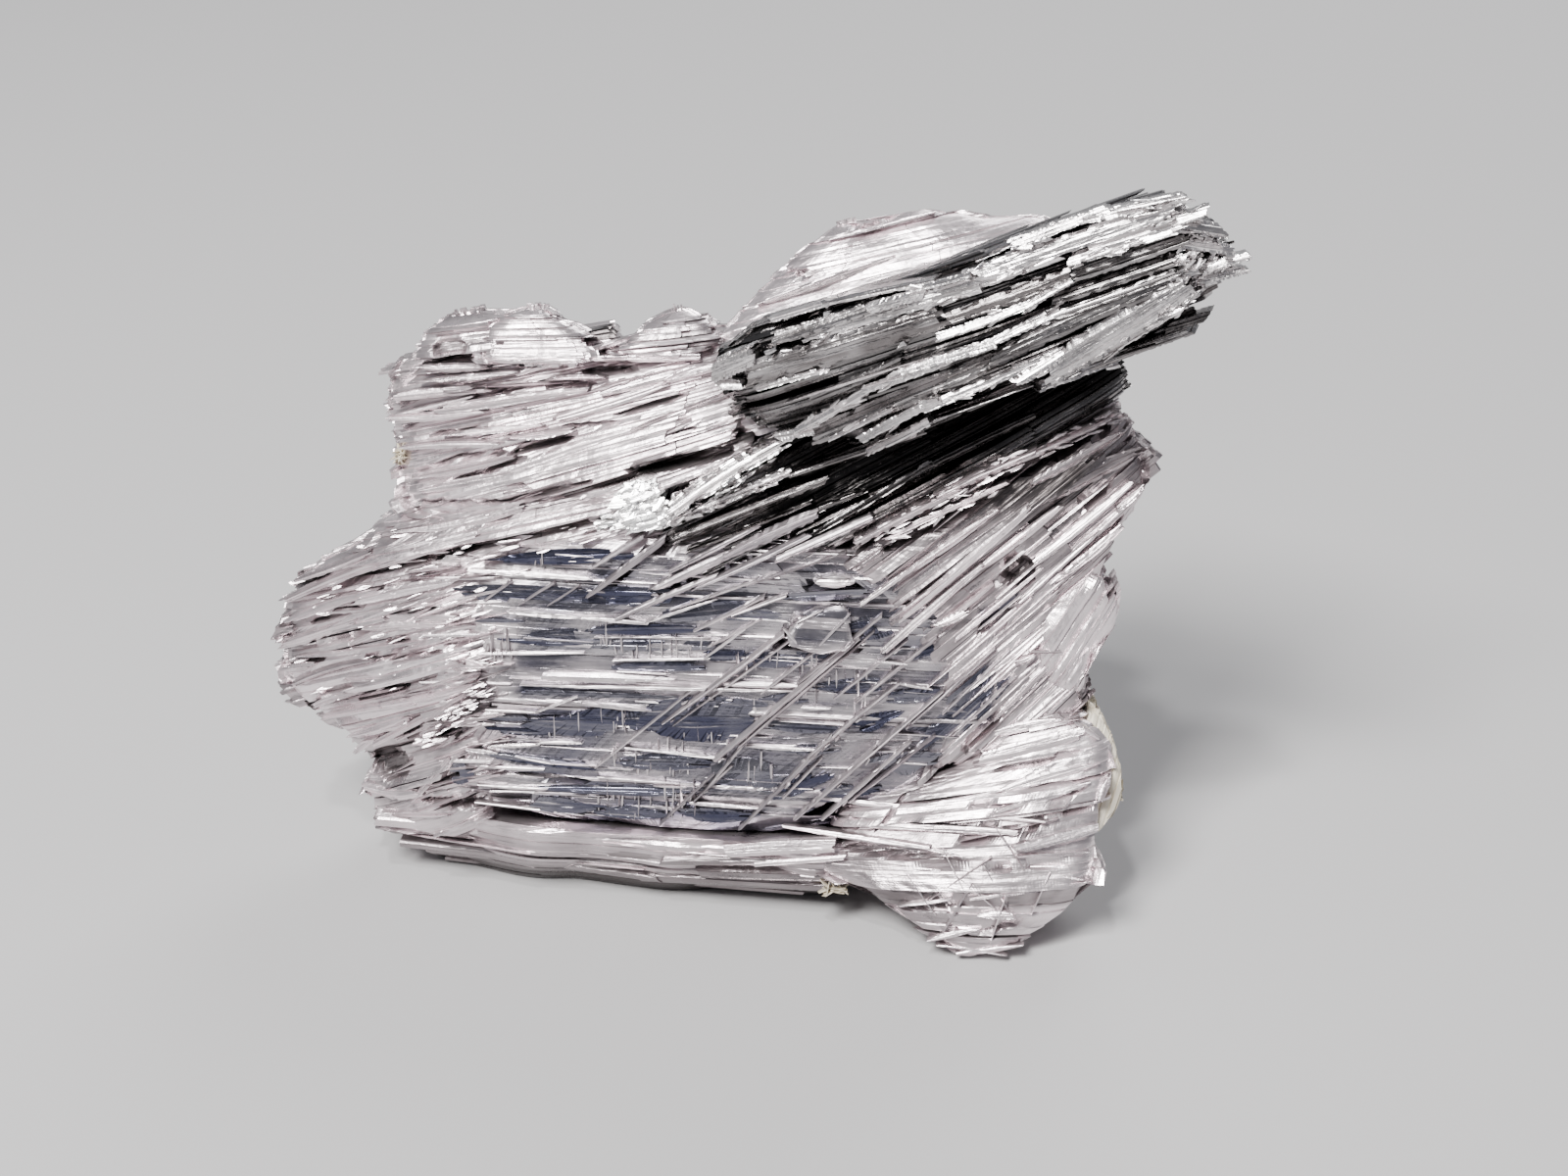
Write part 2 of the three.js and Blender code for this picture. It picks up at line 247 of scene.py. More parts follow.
def terraced(grid, far, axis, slot, layers, rough, rng):
    """A grid (u, v, n, depth) whose two edges along an axis are carried on down the slab's wall, half way
    to the far grid, in terraces: from level to level the wall steps out or in, alike over each short
    stretch."""
    levels = np.arange(2 * layers)
    share = 0.03 + 0.45 * ((levels + 1) // 2) / layers
    count = grid.shape[2 - axis]
    strips = []
    for outward, end in ((-1, 0), (1, -1)):
        steps = rng.uniform(-1, 0.6, (layers, count // 5 + 1))
        steps = rough * np.repeat(np.repeat(steps, 5, 1)[:, :count], 2, 0)
        shares = np.repeat(share[:, None], count, 1)
        if axis == 1:
            steps, shares = steps.T, shares.T
        edge = np.take(grid, [end], axis + 1)
        fall = shares * (np.take(far, [end], axis + 1)[2] - edge[2])
        strip = np.repeat(edge, 2 * layers, axis + 1)
        strip[2] += fall
        strip[3] += np.abs(fall)
        strip[slot] += outward * steps
        strips.append(strip)
    return np.concatenate([np.flip(strips[0], axis + 1), grid, strips[1]], axis + 1)


def sheaf(made, seed, laths, stations=48, side=1, thick=2.5, ragged=0.12, stria=0.02, ledge=0.1,
          groove=0.25, tilt=7, own_tilt=7, lean=4, roof=0.4, breaks=0.5, drop=0.14, rounding=0.5,
          mirrors=0.0, mirror_at=None, grouping=0.2, hidden=0.0, mixed=0.5, soiled=None, pale=0.5,
          slots=(), layers=3, rough=0.2):
    """Closed slab of laths side by side over a plan, as one grid along (u) and across (v) the laths.

    Each lath is four rows of points: a flat crest between two sloping sides. Its height is the plan's mean
    height, plus the step and tilt of its blade (a run of neighbouring laths), plus its own small step and
    tilt, less the fall to its edges, less the groove where a blade ends, less a drop beyond each break in
    its length, less the slots, less the rounding near the outline. The back is the mean height less the
    thickness, or, where thick is a function, that function of x and s. The sides are terraced. For a plate
    that faces back, side is -1 and all heights are counted backwards.

    The masks are shade (pale, a number or a function of x and s, plus each lath's own share), mirror (the
    widest laths where mirror_at says so, which the finish paints dark as a reflection) and painted shade
    (darker the further a point lies below its neighbours or in a slot, at least the minimum given, at least
    the painted shadow given as a function of x and s, and a fixed share on the back).
    """
    rng = np.random.default_rng(seed)
    sizes = np.exp(rng.normal(0, mixed, laths))
    edges = np.concatenate([[0], np.cumsum(sizes)]) * (made["high"] - made["low"]) / sizes.sum()
    edges = made["low"] + edges
    low, high = edges[:-1], edges[1:]
    wide = high - low
    blade = np.cumsum(rng.random(laths) < grouping)
    blade -= blade[0]
    blades = blade[-1] + 1
    row = np.repeat(np.arange(laths), 4)
    is_mirror = (wide > np.median(wide) * 0.9) & (rng.random(laths) < mirrors)
    shoulder = np.where(is_mirror, 0.05, rng.uniform(0.06, 0.38, (2, laths)))
    v = [low + 0.02 * wide, low + shoulder[0] * wide, high - shoulder[1] * wide, high - 0.02 * wide]
    v = np.stack(v, 1).ravel()
    middle = np.array([v[blade[row] == b].mean() for b in range(blades)])
    slope = np.tan(np.radians(rng.normal(lean, tilt, blades)))
    height = (ledge * rng.uniform(-1, 1, blades))[blade[row]]
    height -= (v - middle[blade[row]]) * slope[blade[row]]
    own_slope = np.tan(np.radians(rng.normal(0, own_tilt, laths))) * np.where(is_mirror, 0.2, 1)
    height += (stria * rng.normal(0, 1, laths).clip(-2, 2))[row]
    height -= (v - ((low + high) / 2)[row]) * own_slope[row]
    fall_off = np.minimum(roof * wide * rng.uniform(0.3, 1, laths), 0.25) * np.where(is_mirror, 0.1, 1)
    height -= np.tile([1.0, 0.0, 0.0, 1.0], laths) * fall_off[row]
    edge_row = np.concatenate([[True], blade[row][1:] != blade[row][:-1]])
    edge_row |= np.concatenate([edge_row[1:], [True]])
    v = v[:, None]

    jitter = rng.uniform(-1, 1, (2, laths)) + 1.2 * rng.uniform(-1, 1, (2, blades))[:, blade]
    slant = rng.uniform(-0.6, 0.6, (2, blades))[:, blade][:, row]
    off = v[:, 0] - middle[blade[row]]
    begin, finish = np.interp(v, made["v"], made["begin"]), np.interp(v, made["v"], made["finish"])
    start = begin + (ragged * jitter[0][row] + slant[0] * off)[:, None]
    end = np.maximum(finish + (ragged * jitter[1][row] + slant[1] * off)[:, None], start + 0.12)
    u = start + (end - start) * np.linspace(0, 1, stations)[None, :]
    step = (end - start) / (stations - 1)
    index = np.arange(stations)[None, :]
    deep = np.zeros_like(u)
    closing = 0.42
    for first, last, before in ((1, stations * 0.38, True), (stations * 0.55, stations - 4, False)):
        at = rng.uniform(first, last, blades)[blade] + rng.normal(0, stations * 0.02, laths)
        at = np.clip(at, 1, stations - 4).astype(int)[row][:, None]
        amount = drop * rng.uniform(0.3, 1.5, blades)[blade] * (rng.random(blades) < breaks)[blade]
        amount = (amount + 0.25 * drop * (rng.random(laths) < breaks))[row][:, None]
        deep += np.where(index <= at if before else index > at, amount, 0)
        u = u + np.where((index == at) & (amount > 0), closing, 0) * step
        u = u - np.where((index == at + 1) & (amount > 0), closing, 0) * step

    x, s, base = on_plan(made, u, v)
    near = 1 - np.clip(outline_gap(made["edge"], x, s) / rounding, 0, 1)
    fall = rounding * 0.75 * (1 - np.sqrt(1 - 0.98 * near**2))
    fade = np.clip(0.45 + 0.9 * ripple(u, blade[row][:, None] * 5.0, seed=seed + 5, size=6.0), 0, 1.3)
    slotted = 0.6 * cuts(x, s, slots)
    surface = height[:, None] - deep - groove * fade * edge_row[:, None]
    surface = surface + 0.03 * ripple(x, s, seed=seed + 1, size=1.6)
    surface = surface + 0.008 * ripple(x, s, seed=seed + 2, size=0.4)
    front = base + surface - fall - slotted
    back_step = (0.12 * rng.normal(0, 1, blades)[blade] + 0.04 * rng.normal(0, 1, laths))[row][:, None]
    back = thick(x, s) if callable(thick) else base - thick
    back = np.minimum(back + back_step + 0.6 * fall, front - 0.05)

    # Painted shade: darker where a point lies below the laths beside it or in a slot, at least the minimum
    # given, and under the painted shadow given.
    top = surface.copy()
    for shift in range(1, 8):
        top[shift:] = np.maximum(top[shift:], surface[:-shift])
        top[:-shift] = np.maximum(top[:-shift], surface[shift:])
    recess = np.maximum(np.clip((top - surface - 0.03) / 0.4, 0, 1), np.clip(slotted / 0.5, 0, 0.8))
    recess = np.maximum(recess, hidden)
    if soiled:
        recess = np.maximum(recess, soiled(x, s))
    shade = (0.6 * rng.random(laths) + 0.4 * rng.random(blades)[blade])[row][:, None] - 0.5 + 0 * u
    shade = shade + (pale(x, s) if callable(pale) else pale)
    spots = mirror_at(x, s) if mirror_at else 0 * u
    mirror = is_mirror[row][:, None] * spots

    grids = [np.stack([u, v + 0 * u, front, 0 * u]), np.stack([u, v + 0 * u, back, 0 * u + 2])]
    for axis, slot in ((1, 0), (0, 1)):
        grids = [terraced(grid, far, axis, slot, layers, rough, rng) for grid, far in (grids, grids[::-1])]
    sides = [np.stack([*on_plan(made, grid[0], grid[1], False)[:2], side * grid[2]], -1) for grid in grids]
    grains = [np.stack([grid[0], grid[1] + grid[3]], -1) for grid in grids]

    def pair(*values):
        padded = [np.pad(one, 2 * layers, "edge")[None, ..., None] for one in values]
        return around(*padded)[..., 0]

    # The back is painted with a fixed share of shade.
    masks = {"shade": pair(shade, shade), "mirror": pair(mirror, 0 * mirror),
             "recess": pair(recess, 0 * recess + 0.3)}
    return closed(around(*(one[None] for one in sides)), around(*(one[None] for one in grains)), masks, side)


def strands(ends, seed, lines=5, stations=24, side=1, depth=0.5, stria=0.03, roof=0.12, ragged=0.3,
            slant=0.7, chip=0.3, taper=(0.6, 0.95), bow=0.05, mirrors=0.0, pale=0.5, spread=0.2,
            hidden=0.0, upward=0.0):
    """Closed single laths, all shaped together, from rows of numbers: x, s and n of the start, x, s and n of
    the end, width, and tilt in degrees (positive sinks the upper edge, so the lath faces up).

    Across, a lath is a few flat lines, each with its own small step. Its outline is its width less a taper
    that grows with the square of the way to each end, less chips in the edges, and its ends are cut oblique.
    Its shade is pale, give or take the spread, plus a painted light for each degree that its tilt is over
    15, so that laths facing up are painted paler and those facing forward darker. Its painted shade darkens
    the chips in its edges and is at least the minimum given, and its back is painted with a fixed share of
    shade. For laths that face back, side is -1.
    """
    rng = np.random.default_rng(seed)
    ends = np.asarray(ends, float)
    count = len(ends)
    first, run = ends[:, None, None, 0:3], (ends[:, 3:6] - ends[:, 0:3])[:, None, None, :]
    length = np.linalg.norm(run, axis=-1)
    along = run / length[..., None]
    across = np.stack([-along[..., 1], along[..., 0], 0 * along[..., 0]], -1)
    across /= np.linalg.norm(across, axis=-1, keepdims=True)
    outward = np.cross(along, across)
    width = ends[:, 6][:, None, None]
    tilt = np.radians(ends[:, 7])[:, None, None]
    sizes = rng.uniform(0.4, 1.6, (count, lines))
    edges = np.concatenate([np.zeros((count, 1)), np.cumsum(sizes, 1)], 1)
    edges = edges / sizes.sum(1, keepdims=True) - 0.5
    wide = edges[:, 1:] - edges[:, :-1]
    v = np.stack([edges[:, :-1] + 0.05 * wide, edges[:, 1:] - 0.05 * wide], 2).reshape(count, -1, 1)
    step = stria * rng.normal(0, 1, (count, lines))
    lean = 0.5 * stria * rng.normal(0, 1, (count, lines))
    height = np.stack([step - lean, step + lean], 2).reshape(count, -1, 1) - roof * (2 * v) ** 2 * width
    share = np.linspace(0, 1, stations)[None, None, :]
    off = ragged * width * np.repeat(rng.uniform(-1, 1, (2, count, lines)), 2, axis=2)[..., None]
    cut = rng.uniform(-slant, slant, (2, count, 1, 1)) * v * width + off
    start = np.clip(cut[0], -0.3 * length, 0.35 * length)
    end = length + np.clip(cut[1], -0.35 * length, 0.3 * length)
    u = start + (end - start) * share
    point = rng.uniform(*taper, (2, count, 1, 1))
    shape = 1 - point[0] * (1 - share) ** 2.2 - point[1] * share**2.2
    shape = np.maximum(shape, 0.03)
    cells = -(-stations // 2)
    bites = np.repeat(rng.random((count, 2, cells)) ** 2, 2, axis=2)[:, :, :stations]
    bites = np.where(v > 0, bites[:, 1:2], bites[:, 0:1]) * chip * np.clip((np.abs(v) - 0.2) / 0.25, 0, 1)
    side_way = v * width * shape * (1 - 0.7 * bites)
    rise = height * (0.3 + 0.7 * shape) - bites * width * 0.4
    sink = -side_way * np.sin(tilt)
    sway = bow * width * rng.normal(0, 1, (count, 1, 1)) * np.sin(math.pi * share)

    def place(sideways, raised):
        point = first + along * u[..., None] + across * (sideways + sway)[..., None]
        point = point + outward * raised[..., None]
        point[..., 2] *= side
        return point

    front = place(side_way * np.cos(tilt), rise + sink)
    back = np.minimum(sink, 0) * 0.6 - depth * (0.6 + 0.4 * shape) + 0 * u
    back = place(side_way * np.cos(tilt) * 0.8, back)
    shade = rng.normal(pale, spread, (count, 1, 1))
    shade = shade + np.repeat(rng.normal(0, 0.15, (count, lines)), 2, 1)[..., None]
    # Painted light: laths tilted to face up are painted paler, those facing forward darker.
    shade = np.clip(shade + upward * (ends[:, 7][:, None, None] - 15), 0, 1) + 0 * u
    mirror = (rng.random((count, 1, 1)) < mirrors) + 0 * u
    # Painted shade in the chips' notches, at least the minimum given; below, the back gets a fixed share.
    recess = np.clip(bites * 0.5, hidden, 1) + 0 * u
    apart = rng.uniform(0, 50, (2, count, 1, 1))
    grain = np.stack([u + apart[0], v * width + apart[1] + 0 * u], -1)

    def pair(*values):
        return around(*(one[..., None] for one in values))[..., 0]

    masks = {"shade": pair(shade, shade), "mirror": pair(mirror, 0 * mirror),
             "recess": pair(recess, 0 * recess + 0.6)}
    return closed(around(front, back), around(grain, grain), masks, side)


def laid(front, rows, lower=0.0, higher_up=0.0, wider=1.0, steeper=0.0):
    """Rows for strands, laid on a height field, from x and s of both ends, lift, width and tilt: all of them
    sunk by lower and then moved up the plate by higher_up, times wider, with steeper added to the tilt."""
    x0, s0, x1, s1, lift, width, tilt = np.asarray(rows, float).T
    n0, n1 = front(x0, s0) + lift - lower, front(x1, s1) + lift - lower
    return np.stack([x0, s0 + higher_up, n0, x1, s1 + higher_up, n1, width * wider, tilt + steeper], 1)


def scattered(made, number, seed, length=(1, 4), width=(0.15, 0.6), lift=(-0.15, 0.25), turn=3,
              tilt=(8, 12), area=(0.03, 0.97), pitch=0.1, level=False):
    """Rows for strands: laths spread evenly across a plan, at random places along it, of random length,
    width and tilt, nearly parallel to it, or with both ends level with the plate's frame."""
    rng = np.random.default_rng(seed)
    share = (rng.permutation(number) + rng.random(number)) / number
    v = made["low"] + (area[0] + (area[1] - area[0]) * share) * (made["high"] - made["low"])
    begin, finish = np.interp(v, made["v"], made["begin"]), np.interp(v, made["v"], made["finish"])
    size = np.minimum(rng.uniform(*length, number), 0.85 * (finish - begin))
    u = begin + rng.uniform(0.02, 0.98, number) * (finish - begin - size)
    v_end = np.clip(v + size * np.tan(np.radians(rng.normal(0, turn, number))), made["low"], made["high"])
    x0, s0, n0 = on_plan(made, u, v)
    x1, s1, n1 = on_plan(made, u + size, v_end)
    raised = rng.uniform(*lift, number) + pitch * rng.normal(0, 1, (2, number))
    if level:
        n0 = n1 = (n0 + n1) / 2
    wide = rng.uniform(*width, number) ** 1.5 / width[1] ** 0.5
    return np.stack([x0, s0, n0 + raised[0], x1, s1, n1 + raised[1], wide, rng.normal(*tilt, number)], 1)


def ticks(front, boxes, seed):
    """Rows for strands: short upright hairs of pale growth inside boxes (left, right, low, high, number)."""
    rng = np.random.default_rng(seed)
    rows = []
    for left, right, low, high, number in boxes:
        x, s = rng.uniform(left, right, number), rng.uniform(low, high, number)
        tall = rng.uniform(0.35, 0.85, number) ** 2
        lean = x + rng.normal(0, 0.02, number)
        width = rng.uniform(0.035, 0.085, number)
        rows.append(np.stack([x, s, lean, s + tall, 0 * x + 0.1, width, 0 * x], 1))
    return laid(front, np.concatenate(rows))


def joined(name, solids, finish):
    """One piece of several solids, with their grain as its UV map and their masks as attributes, which rides
    on the root and stands for the specimen's solid."""
    counts = np.cumsum([0] + [len(one["points"]) for one in solids])
    points = np.concatenate([one["points"] for one in solids])
    faces = np.concatenate([one["faces"] + start for one, start in zip(solids, counts)])
    mesh = bpy.data.meshes.new(name)
    mesh.vertices.add(len(points))
    mesh.vertices.foreach_set("co", plate_to_row(*points.T).astype(np.float32).ravel())
    mesh.loops.add(faces.size)
    mesh.loops.foreach_set("vertex_index", faces.astype(np.int32).ravel())
    mesh.polygons.add(len(faces))
    mesh.polygons.foreach_set("loop_start", np.arange(0, faces.size, 4, dtype=np.int32))
    mesh.polygons.foreach_set("use_smooth", np.zeros(len(faces), bool))
    mesh.update(calc_edges=True)
    grain = np.concatenate([one["grain"] for one in solids])
    layer = mesh.uv_layers.new(name="grain")
    layer.data.foreach_set("uv", grain[faces.ravel()].astype(np.float32).ravel())
    for mask in solids[0]["masks"]:
        values = np.concatenate([one["masks"][mask] for one in solids])
        mesh.attributes.new(mask, "FLOAT", "POINT").data.foreach_set("value", values.astype(np.float32))
    mesh.materials.append(finish)
    piece = bpy.data.objects.new(name, mesh)
    bpy.context.collection.objects.link(piece)
    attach(piece, "root")
    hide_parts("andorite_cluster")


def effect(name, inputs, outputs):
    """Empty shader node group with float inputs and outputs of the given names."""
    group = bpy.data.node_groups.new(name, "ShaderNodeTree")
    for label, value in inputs.items():
        socket = group.interface.new_socket(label, in_out="INPUT", socket_type="NodeSocketFloat")
        socket.default_value = value
    for label in outputs:
        group.interface.new_socket(label, in_out="OUTPUT", socket_type="NodeSocketFloat")
    return group, group.nodes.new("NodeGroupInput"), group.nodes.new("NodeGroupOutput")


def maths(tree, operation, first, second=None):
    """Math node on sockets or plain numbers; returns its output."""
    node = tree.nodes.new("ShaderNodeMath")
    node.operation = operation
    for slot, value in enumerate((first, second)):
        if value is None:
            continue
        if isinstance(value, (int, float)):
            node.inputs[slot].default_value = value
        else:
            tree.links.new(value, node.inputs[slot])
    return node.outputs[0]


# Hair-fine lines along the laths, from noise stretched along the grain map.
fine_lines, fine_in, fine_out = effect("fine_lines", {"Across": 16.0, "Along": 0.7},
                                       ["Lines", "Coarse"])
grain_map = fine_lines.nodes.new("ShaderNodeUVMap")
grain_map.uv_map = "grain"
grain_split = fine_lines.nodes.new("ShaderNodeSeparateXYZ")
fine_lines.links.new(grain_map.outputs[0], grain_split.inputs[0])
for label, across_scale, along_scale in (("Lines", 1.0, 1.0), ("Coarse", 0.3, 0.8)):
    along_mm = maths(fine_lines, "MULTIPLY", grain_split.outputs[0], along_scale)
    across_mm = maths(fine_lines, "MULTIPLY", grain_split.outputs[1], across_scale)
    along_scaled = maths(fine_lines, "MULTIPLY", along_mm, fine_in.outputs["Along"])
    across_scaled = maths(fine_lines, "MULTIPLY", across_mm, fine_in.outputs["Across"])
    place = fine_lines.nodes.new("ShaderNodeCombineXYZ")
    fine_lines.links.new(along_scaled, place.inputs[0])
    fine_lines.links.new(across_scaled, place.inputs[1])
    noise = fine_lines.nodes.new("ShaderNodeTexNoise")
    noise.inputs["Scale"].default_value = 1.0
    noise.inputs["Detail"].default_value = 3.0
    fine_lines.links.new(place.outputs[0], noise.inputs["Vector"])
    fine_lines.links.new(noise.outputs["Fac"], fine_out.inputs[label])

# Tarnish in patches and specks, from noise on the object's own coordinates in millimetres.
patches, patch_in, patch_out = effect("patches", {"Per mm": 1.0}, ["Broad", "Specks"])
object_place = patches.nodes.new("ShaderNodeTexCoord")
scaled = patches.nodes.new("ShaderNodeVectorMath")
scaled.operation = "SCALE"
patches.links.new(object_place.outputs["Object"], scaled.inputs[0])
patches.links.new(maths(patches, "MULTIPLY", patch_in.outputs[0], 1000.0), scaled.inputs["Scale"])
for label, size in (("Broad", 0.8), ("Specks", 9.0)):
    noise = patches.nodes.new("ShaderNodeTexNoise")
    noise.inputs["Scale"].default_value = size
    noise.inputs["Detail"].default_value = 4.0
    patches.links.new(scaled.outputs[0], noise.inputs["Vector"])
    patches.links.new(noise.outputs["Fac"], patch_out.inputs[label])


def blend_colour(tree, share, first, second):
    """Mix node for colours; first and second are sockets or (r, g, b)."""
    node = tree.nodes.new("ShaderNodeMix")
    node.data_type = "RGBA"
    node.clamp_factor = True
    tree.links.new(share, node.inputs["Factor"])
    for slot, value in (("A", first), ("B", second)):
        socket = next(i for i in node.inputs if i.name == slot and i.type == "RGBA")
        if isinstance(value, tuple):
            socket.default_value = (*value, 1)
        else:
            tree.links.new(value, socket)
    return next(o for o in node.outputs if o.type == "RGBA")


def ranged(tree, value, low, high, to_low=0.0, to_high=1.0):
    """Map Range node: the value from low..high to to_low..to_high, clamped."""
    node = tree.nodes.new("ShaderNodeMapRange")
    tree.links.new(value, node.inputs["Value"])
    for slot, number in zip(("From Min", "From Max", "To Min", "To Max"), (low, high, to_low, to_high)):
        node.inputs[slot].default_value = number
    return node.outputs[0]


def striated_metal(name, pale, grey, hollow, mirror=(0.035, 0.037, 0.06), rough=(0.28, 0.5), metal=0.9,
                   lines=0.00002, contrast=0.5, across=16.0):
    """Striated sulfosalt: from grey to pale by a streak (the fine lines times the contrast, plus the lath's
    own shade times the rest, plus broad clouds), then to the painted-shade colour by the painted-shade mask,
    which paints the shade of grooves, slots and shadowed laths, and by the mirror mask to a dark colour, a
    painted reflection of dark surroundings, which also halves the roughness. The fine lines and specks also
    roughen it and raise its bump."""
    finish = bpy.data.materials.new(name)
    finish.use_nodes = True
    tree = finish.node_tree
    shader = tree.nodes["Principled BSDF"]

    def mask(label):
        node = tree.nodes.new("ShaderNodeAttribute")
        node.attribute_name = label
        return node.outputs["Fac"]

    line_node = tree.nodes.new("ShaderNodeGroup")
    line_node.node_tree = fine_lines
    line_node.inputs["Across"].default_value = across
    patch_node = tree.nodes.new("ShaderNodeGroup")
    patch_node.node_tree = patches
    shade, facet, recess = mask("shade"), mask("mirror"), mask("recess")
    streak = maths(tree, "MULTIPLY", line_node.outputs["Lines"], contrast)
    streak = maths(tree, "ADD", streak, maths(tree, "MULTIPLY", shade, 1 - contrast))
    cloud = maths(tree, "MULTIPLY", maths(tree, "SUBTRACT", patch_node.outputs["Broad"], 0.5), 0.7)
    streak = maths(tree, "ADD", streak, cloud)
    colour = blend_colour(tree, ranged(tree, streak, 0.2, 0.75), grey, pale)
    # Painted shade: the colour turns to the shade colour where the painted-shade mask is high.
    colour = blend_colour(tree, ranged(tree, recess, 0.1, 0.9), colour, hollow)
    # Painted reflection: where the mirror mask is, a dark colour stands for dark surroundings reflected in
    # the facets.
    painted_reflection_mix = maths(tree, "MULTIPLY", facet, ranged(tree, line_node.outputs["Lines"], 0.78, 0.62))
    painted_reflection_colour = blend_colour(tree, ranged(tree, streak, 0.25, 0.85), mirror, (0.24, 0.232, 0.26))
    colour = blend_colour(tree, painted_reflection_mix, colour, painted_reflection_colour)
    tree.links.new(colour, shader.inputs["Base Color"])
    speckled = maths(tree, "MULTIPLY", patch_node.outputs["Specks"], 0.4)
    speckled = maths(tree, "ADD", line_node.outputs["Coarse"], speckled)
    dull = ranged(tree, speckled, 0.45, 0.9, rough[0], rough[1])
    dull = maths(tree, "MULTIPLY", dull, ranged(tree, facet, 0.0, 1.0, 1.0, 0.5))
    tree.links.new(dull, shader.inputs["Roughness"])
    shader.inputs["Metallic"].default_value = metal
    bump = tree.nodes.new("ShaderNodeBump")
    bump.inputs["Distance"].default_value = lines
    bump.inputs["Strength"].default_value = 0.8
    tall = maths(tree, "MULTIPLY", line_node.outputs["Lines"], ranged(tree, facet, 0.0, 1.0, 1.0, 0.25))
    tall = maths(tree, "ADD", tall, maths(tree, "MULTIPLY", patch_node.outputs["Specks"], 0.25))
    tree.links.new(tall, bump.inputs["Height"])
    tree.links.new(bump.outputs[0], shader.inputs["Normal"])
    return finish


def inside(x, s, boxes):
    """Soft-edged share of being in any of the slanted boxes (left, right, low, high, slope)."""
    share = np.zeros(np.broadcast(x, s).shape)
    for left, right, low, high, slope in boxes:
        level = s - slope * (x - left)
        gap = np.minimum(np.minimum(x - left, right - x) * 0.6, np.minimum(level - low, high - level))
        share = np.maximum(share, np.clip(gap / 0.08 + 0.5, 0, 1))
    return share


# Finish of the face: its dark bluish mirror colour is a painted reflection of dark surroundings, and its
# near-black colour is painted shade.
face_metal = striated_metal("face_metal", pale=(0.82, 0.755, 0.775), grey=(0.29, 0.262, 0.285),
                            hollow=(0.05, 0.043, 0.044), metal=0.9, mirror=(0.055, 0.057, 0.092),
                            rough=(0.24, 0.45), across=9.0, lines=0.00003)
plate_front = relief([
    (-12.1, 7, -2.0), (-11, 5, -1.7), (-9.7, 3, -1.3), (-9.5, 6, -0.9), (-9, 9.5, -0.9), (-7, 7.5, 0.0),
    (-7, 4, 0.1), (-6.5, 2.2, 0.1), (-4, 9, 0.5), (-4, 5, 0.6), (-3, 2.5, 0.6), (0, 9.5, 1.0),
    (0, 5, 1.0), (0, 2.3, 1.0), (4, 8, 1.45), (4, 4, 1.35), (3.5, 2.2, 1.3), (8, 9, 1.6), (8, 5.5, 1.5),
    (11, 8, 1.1), (11.9, 12, 1.2), (11, 14, 1.4), (8, 12.5, 1.8), (4, 11, 1.3), (2, 12, 1.0),
    (-2, 11.5, 0.6), (-6, 11.5, -0.4), (-8, 12, -1.3), (-8, 15.5, -1.5), (-4, 15.5, -0.8),
    (-4, 13, -0.3), (0, 14, 0.2), (0, 16, -0.8), (3, 16, -1), (10, 18, -1.2)])
plate_back = relief([
    (-12, 7, -3.4), (-10, 4, -4.2), (-8, 1, -4.6), (0, 0.5, -4.9), (3, 0.5, -4.6), (7, 0.5, -2.4),
    (9, -0.5, -0.4), (11, 3, -1.0), (10.5, 8, -2.3), (11.5, 12, -1.6), (0, 6, -4.4), (-6, 6, -4.4),
    (5, 5, -4.2), (-8, 12, -3.9), (-8, 16, -3.0), (0, 12, -4.0), (5, 11, -4.0), (0, 16, -3.0),
    (5, 18, -2.8), (10, 18, -2.6), (10, 14.5, -2.1)])
face_plan = plan([
    (-6.9, 2.3), (-7.2, 3.5), (-6.7, 5.0), (-6.4, 6.4), (-6.7, 7.6), (-6.7, 8.8), (-6.2, 9.4),
    (-5.3, 9.9), (-3.9, 10.3), (-2.3, 10.4), (0.5, 10.8), (3.0, 10.8), (5.0, 9.8), (6.8, 8.6),
    (8.0, 6.6), (8.0, 5.0), (6.4, 3.6), (4.5, 2.6), (2.2, 2.0), (-0.8, 1.9), (-3.1, 2.1)],
    heading=-1.5, front=plate_front)

PALE_PATCHES = [(-5.2, 0.6, 6.2, 6.6, 0.0), (-6.4, -5.2, 6.5, 7.8, 0.0), (-7.0, -5.2, 4.9, 6.2, 0.0)]


def painted_reflection_share(x, s):
    """Share of painted dark reflection between the ledges: an oval over the face, less three pale patches at
    the left and a softer one right of the middle, in clouds."""
    oval = 1 - ((x - 0.6) / 6.8) ** 4 - ((s - 5.6) / 4.6) ** 4
    pale = inside(x, s, PALE_PATCHES)
    middle = np.clip(1.3 - ((x - 2.2) / 4.2) ** 2 - ((s - 5.8) / 2.2) ** 2, 0, 1)
    share = 0.75 - 0.6 * pale - 0.35 * middle + 0.4 * ripple(x, 2 * s, seed=5, size=2.0)
    return np.clip(2 * oval, 0, 1) * np.clip(share, 0, 1)


FACE_SLOTS = [
    (-1.2, 10.15, 0.9, 11.1, 0.42, 0.8), (-1.1, 8.8, 3.0, 10.85, 0.14, 0.5),
    (-2.6, 9.1, -1.4, 10.1, 0.14, 0.5), (-7.1, 8.5, -6.9, 9.2, 0.26, 0.7),
    (-6.9, 7.98, -5.2, 7.9, 0.14, 0.4), (-7.0, 6.6, -6.9, 7.4, 0.14, 0.4),
    (2.1, 7.5, 4.3, 7.45, 0.3, 0.6), (4.1, 7.6, 4.5, 8.3, 0.24, 0.5), (2.9, 9.1, 4.4, 9.15, 0.2, 0.5),
    (-5.2, 3.55, -3.2, 3.35, 0.12, 0.35), (-6.8, 2.75, -4.9, 2.75, 0.12, 0.4),
    (-0.6, 4.05, 1.4, 4.1, 0.1, 0.3)]
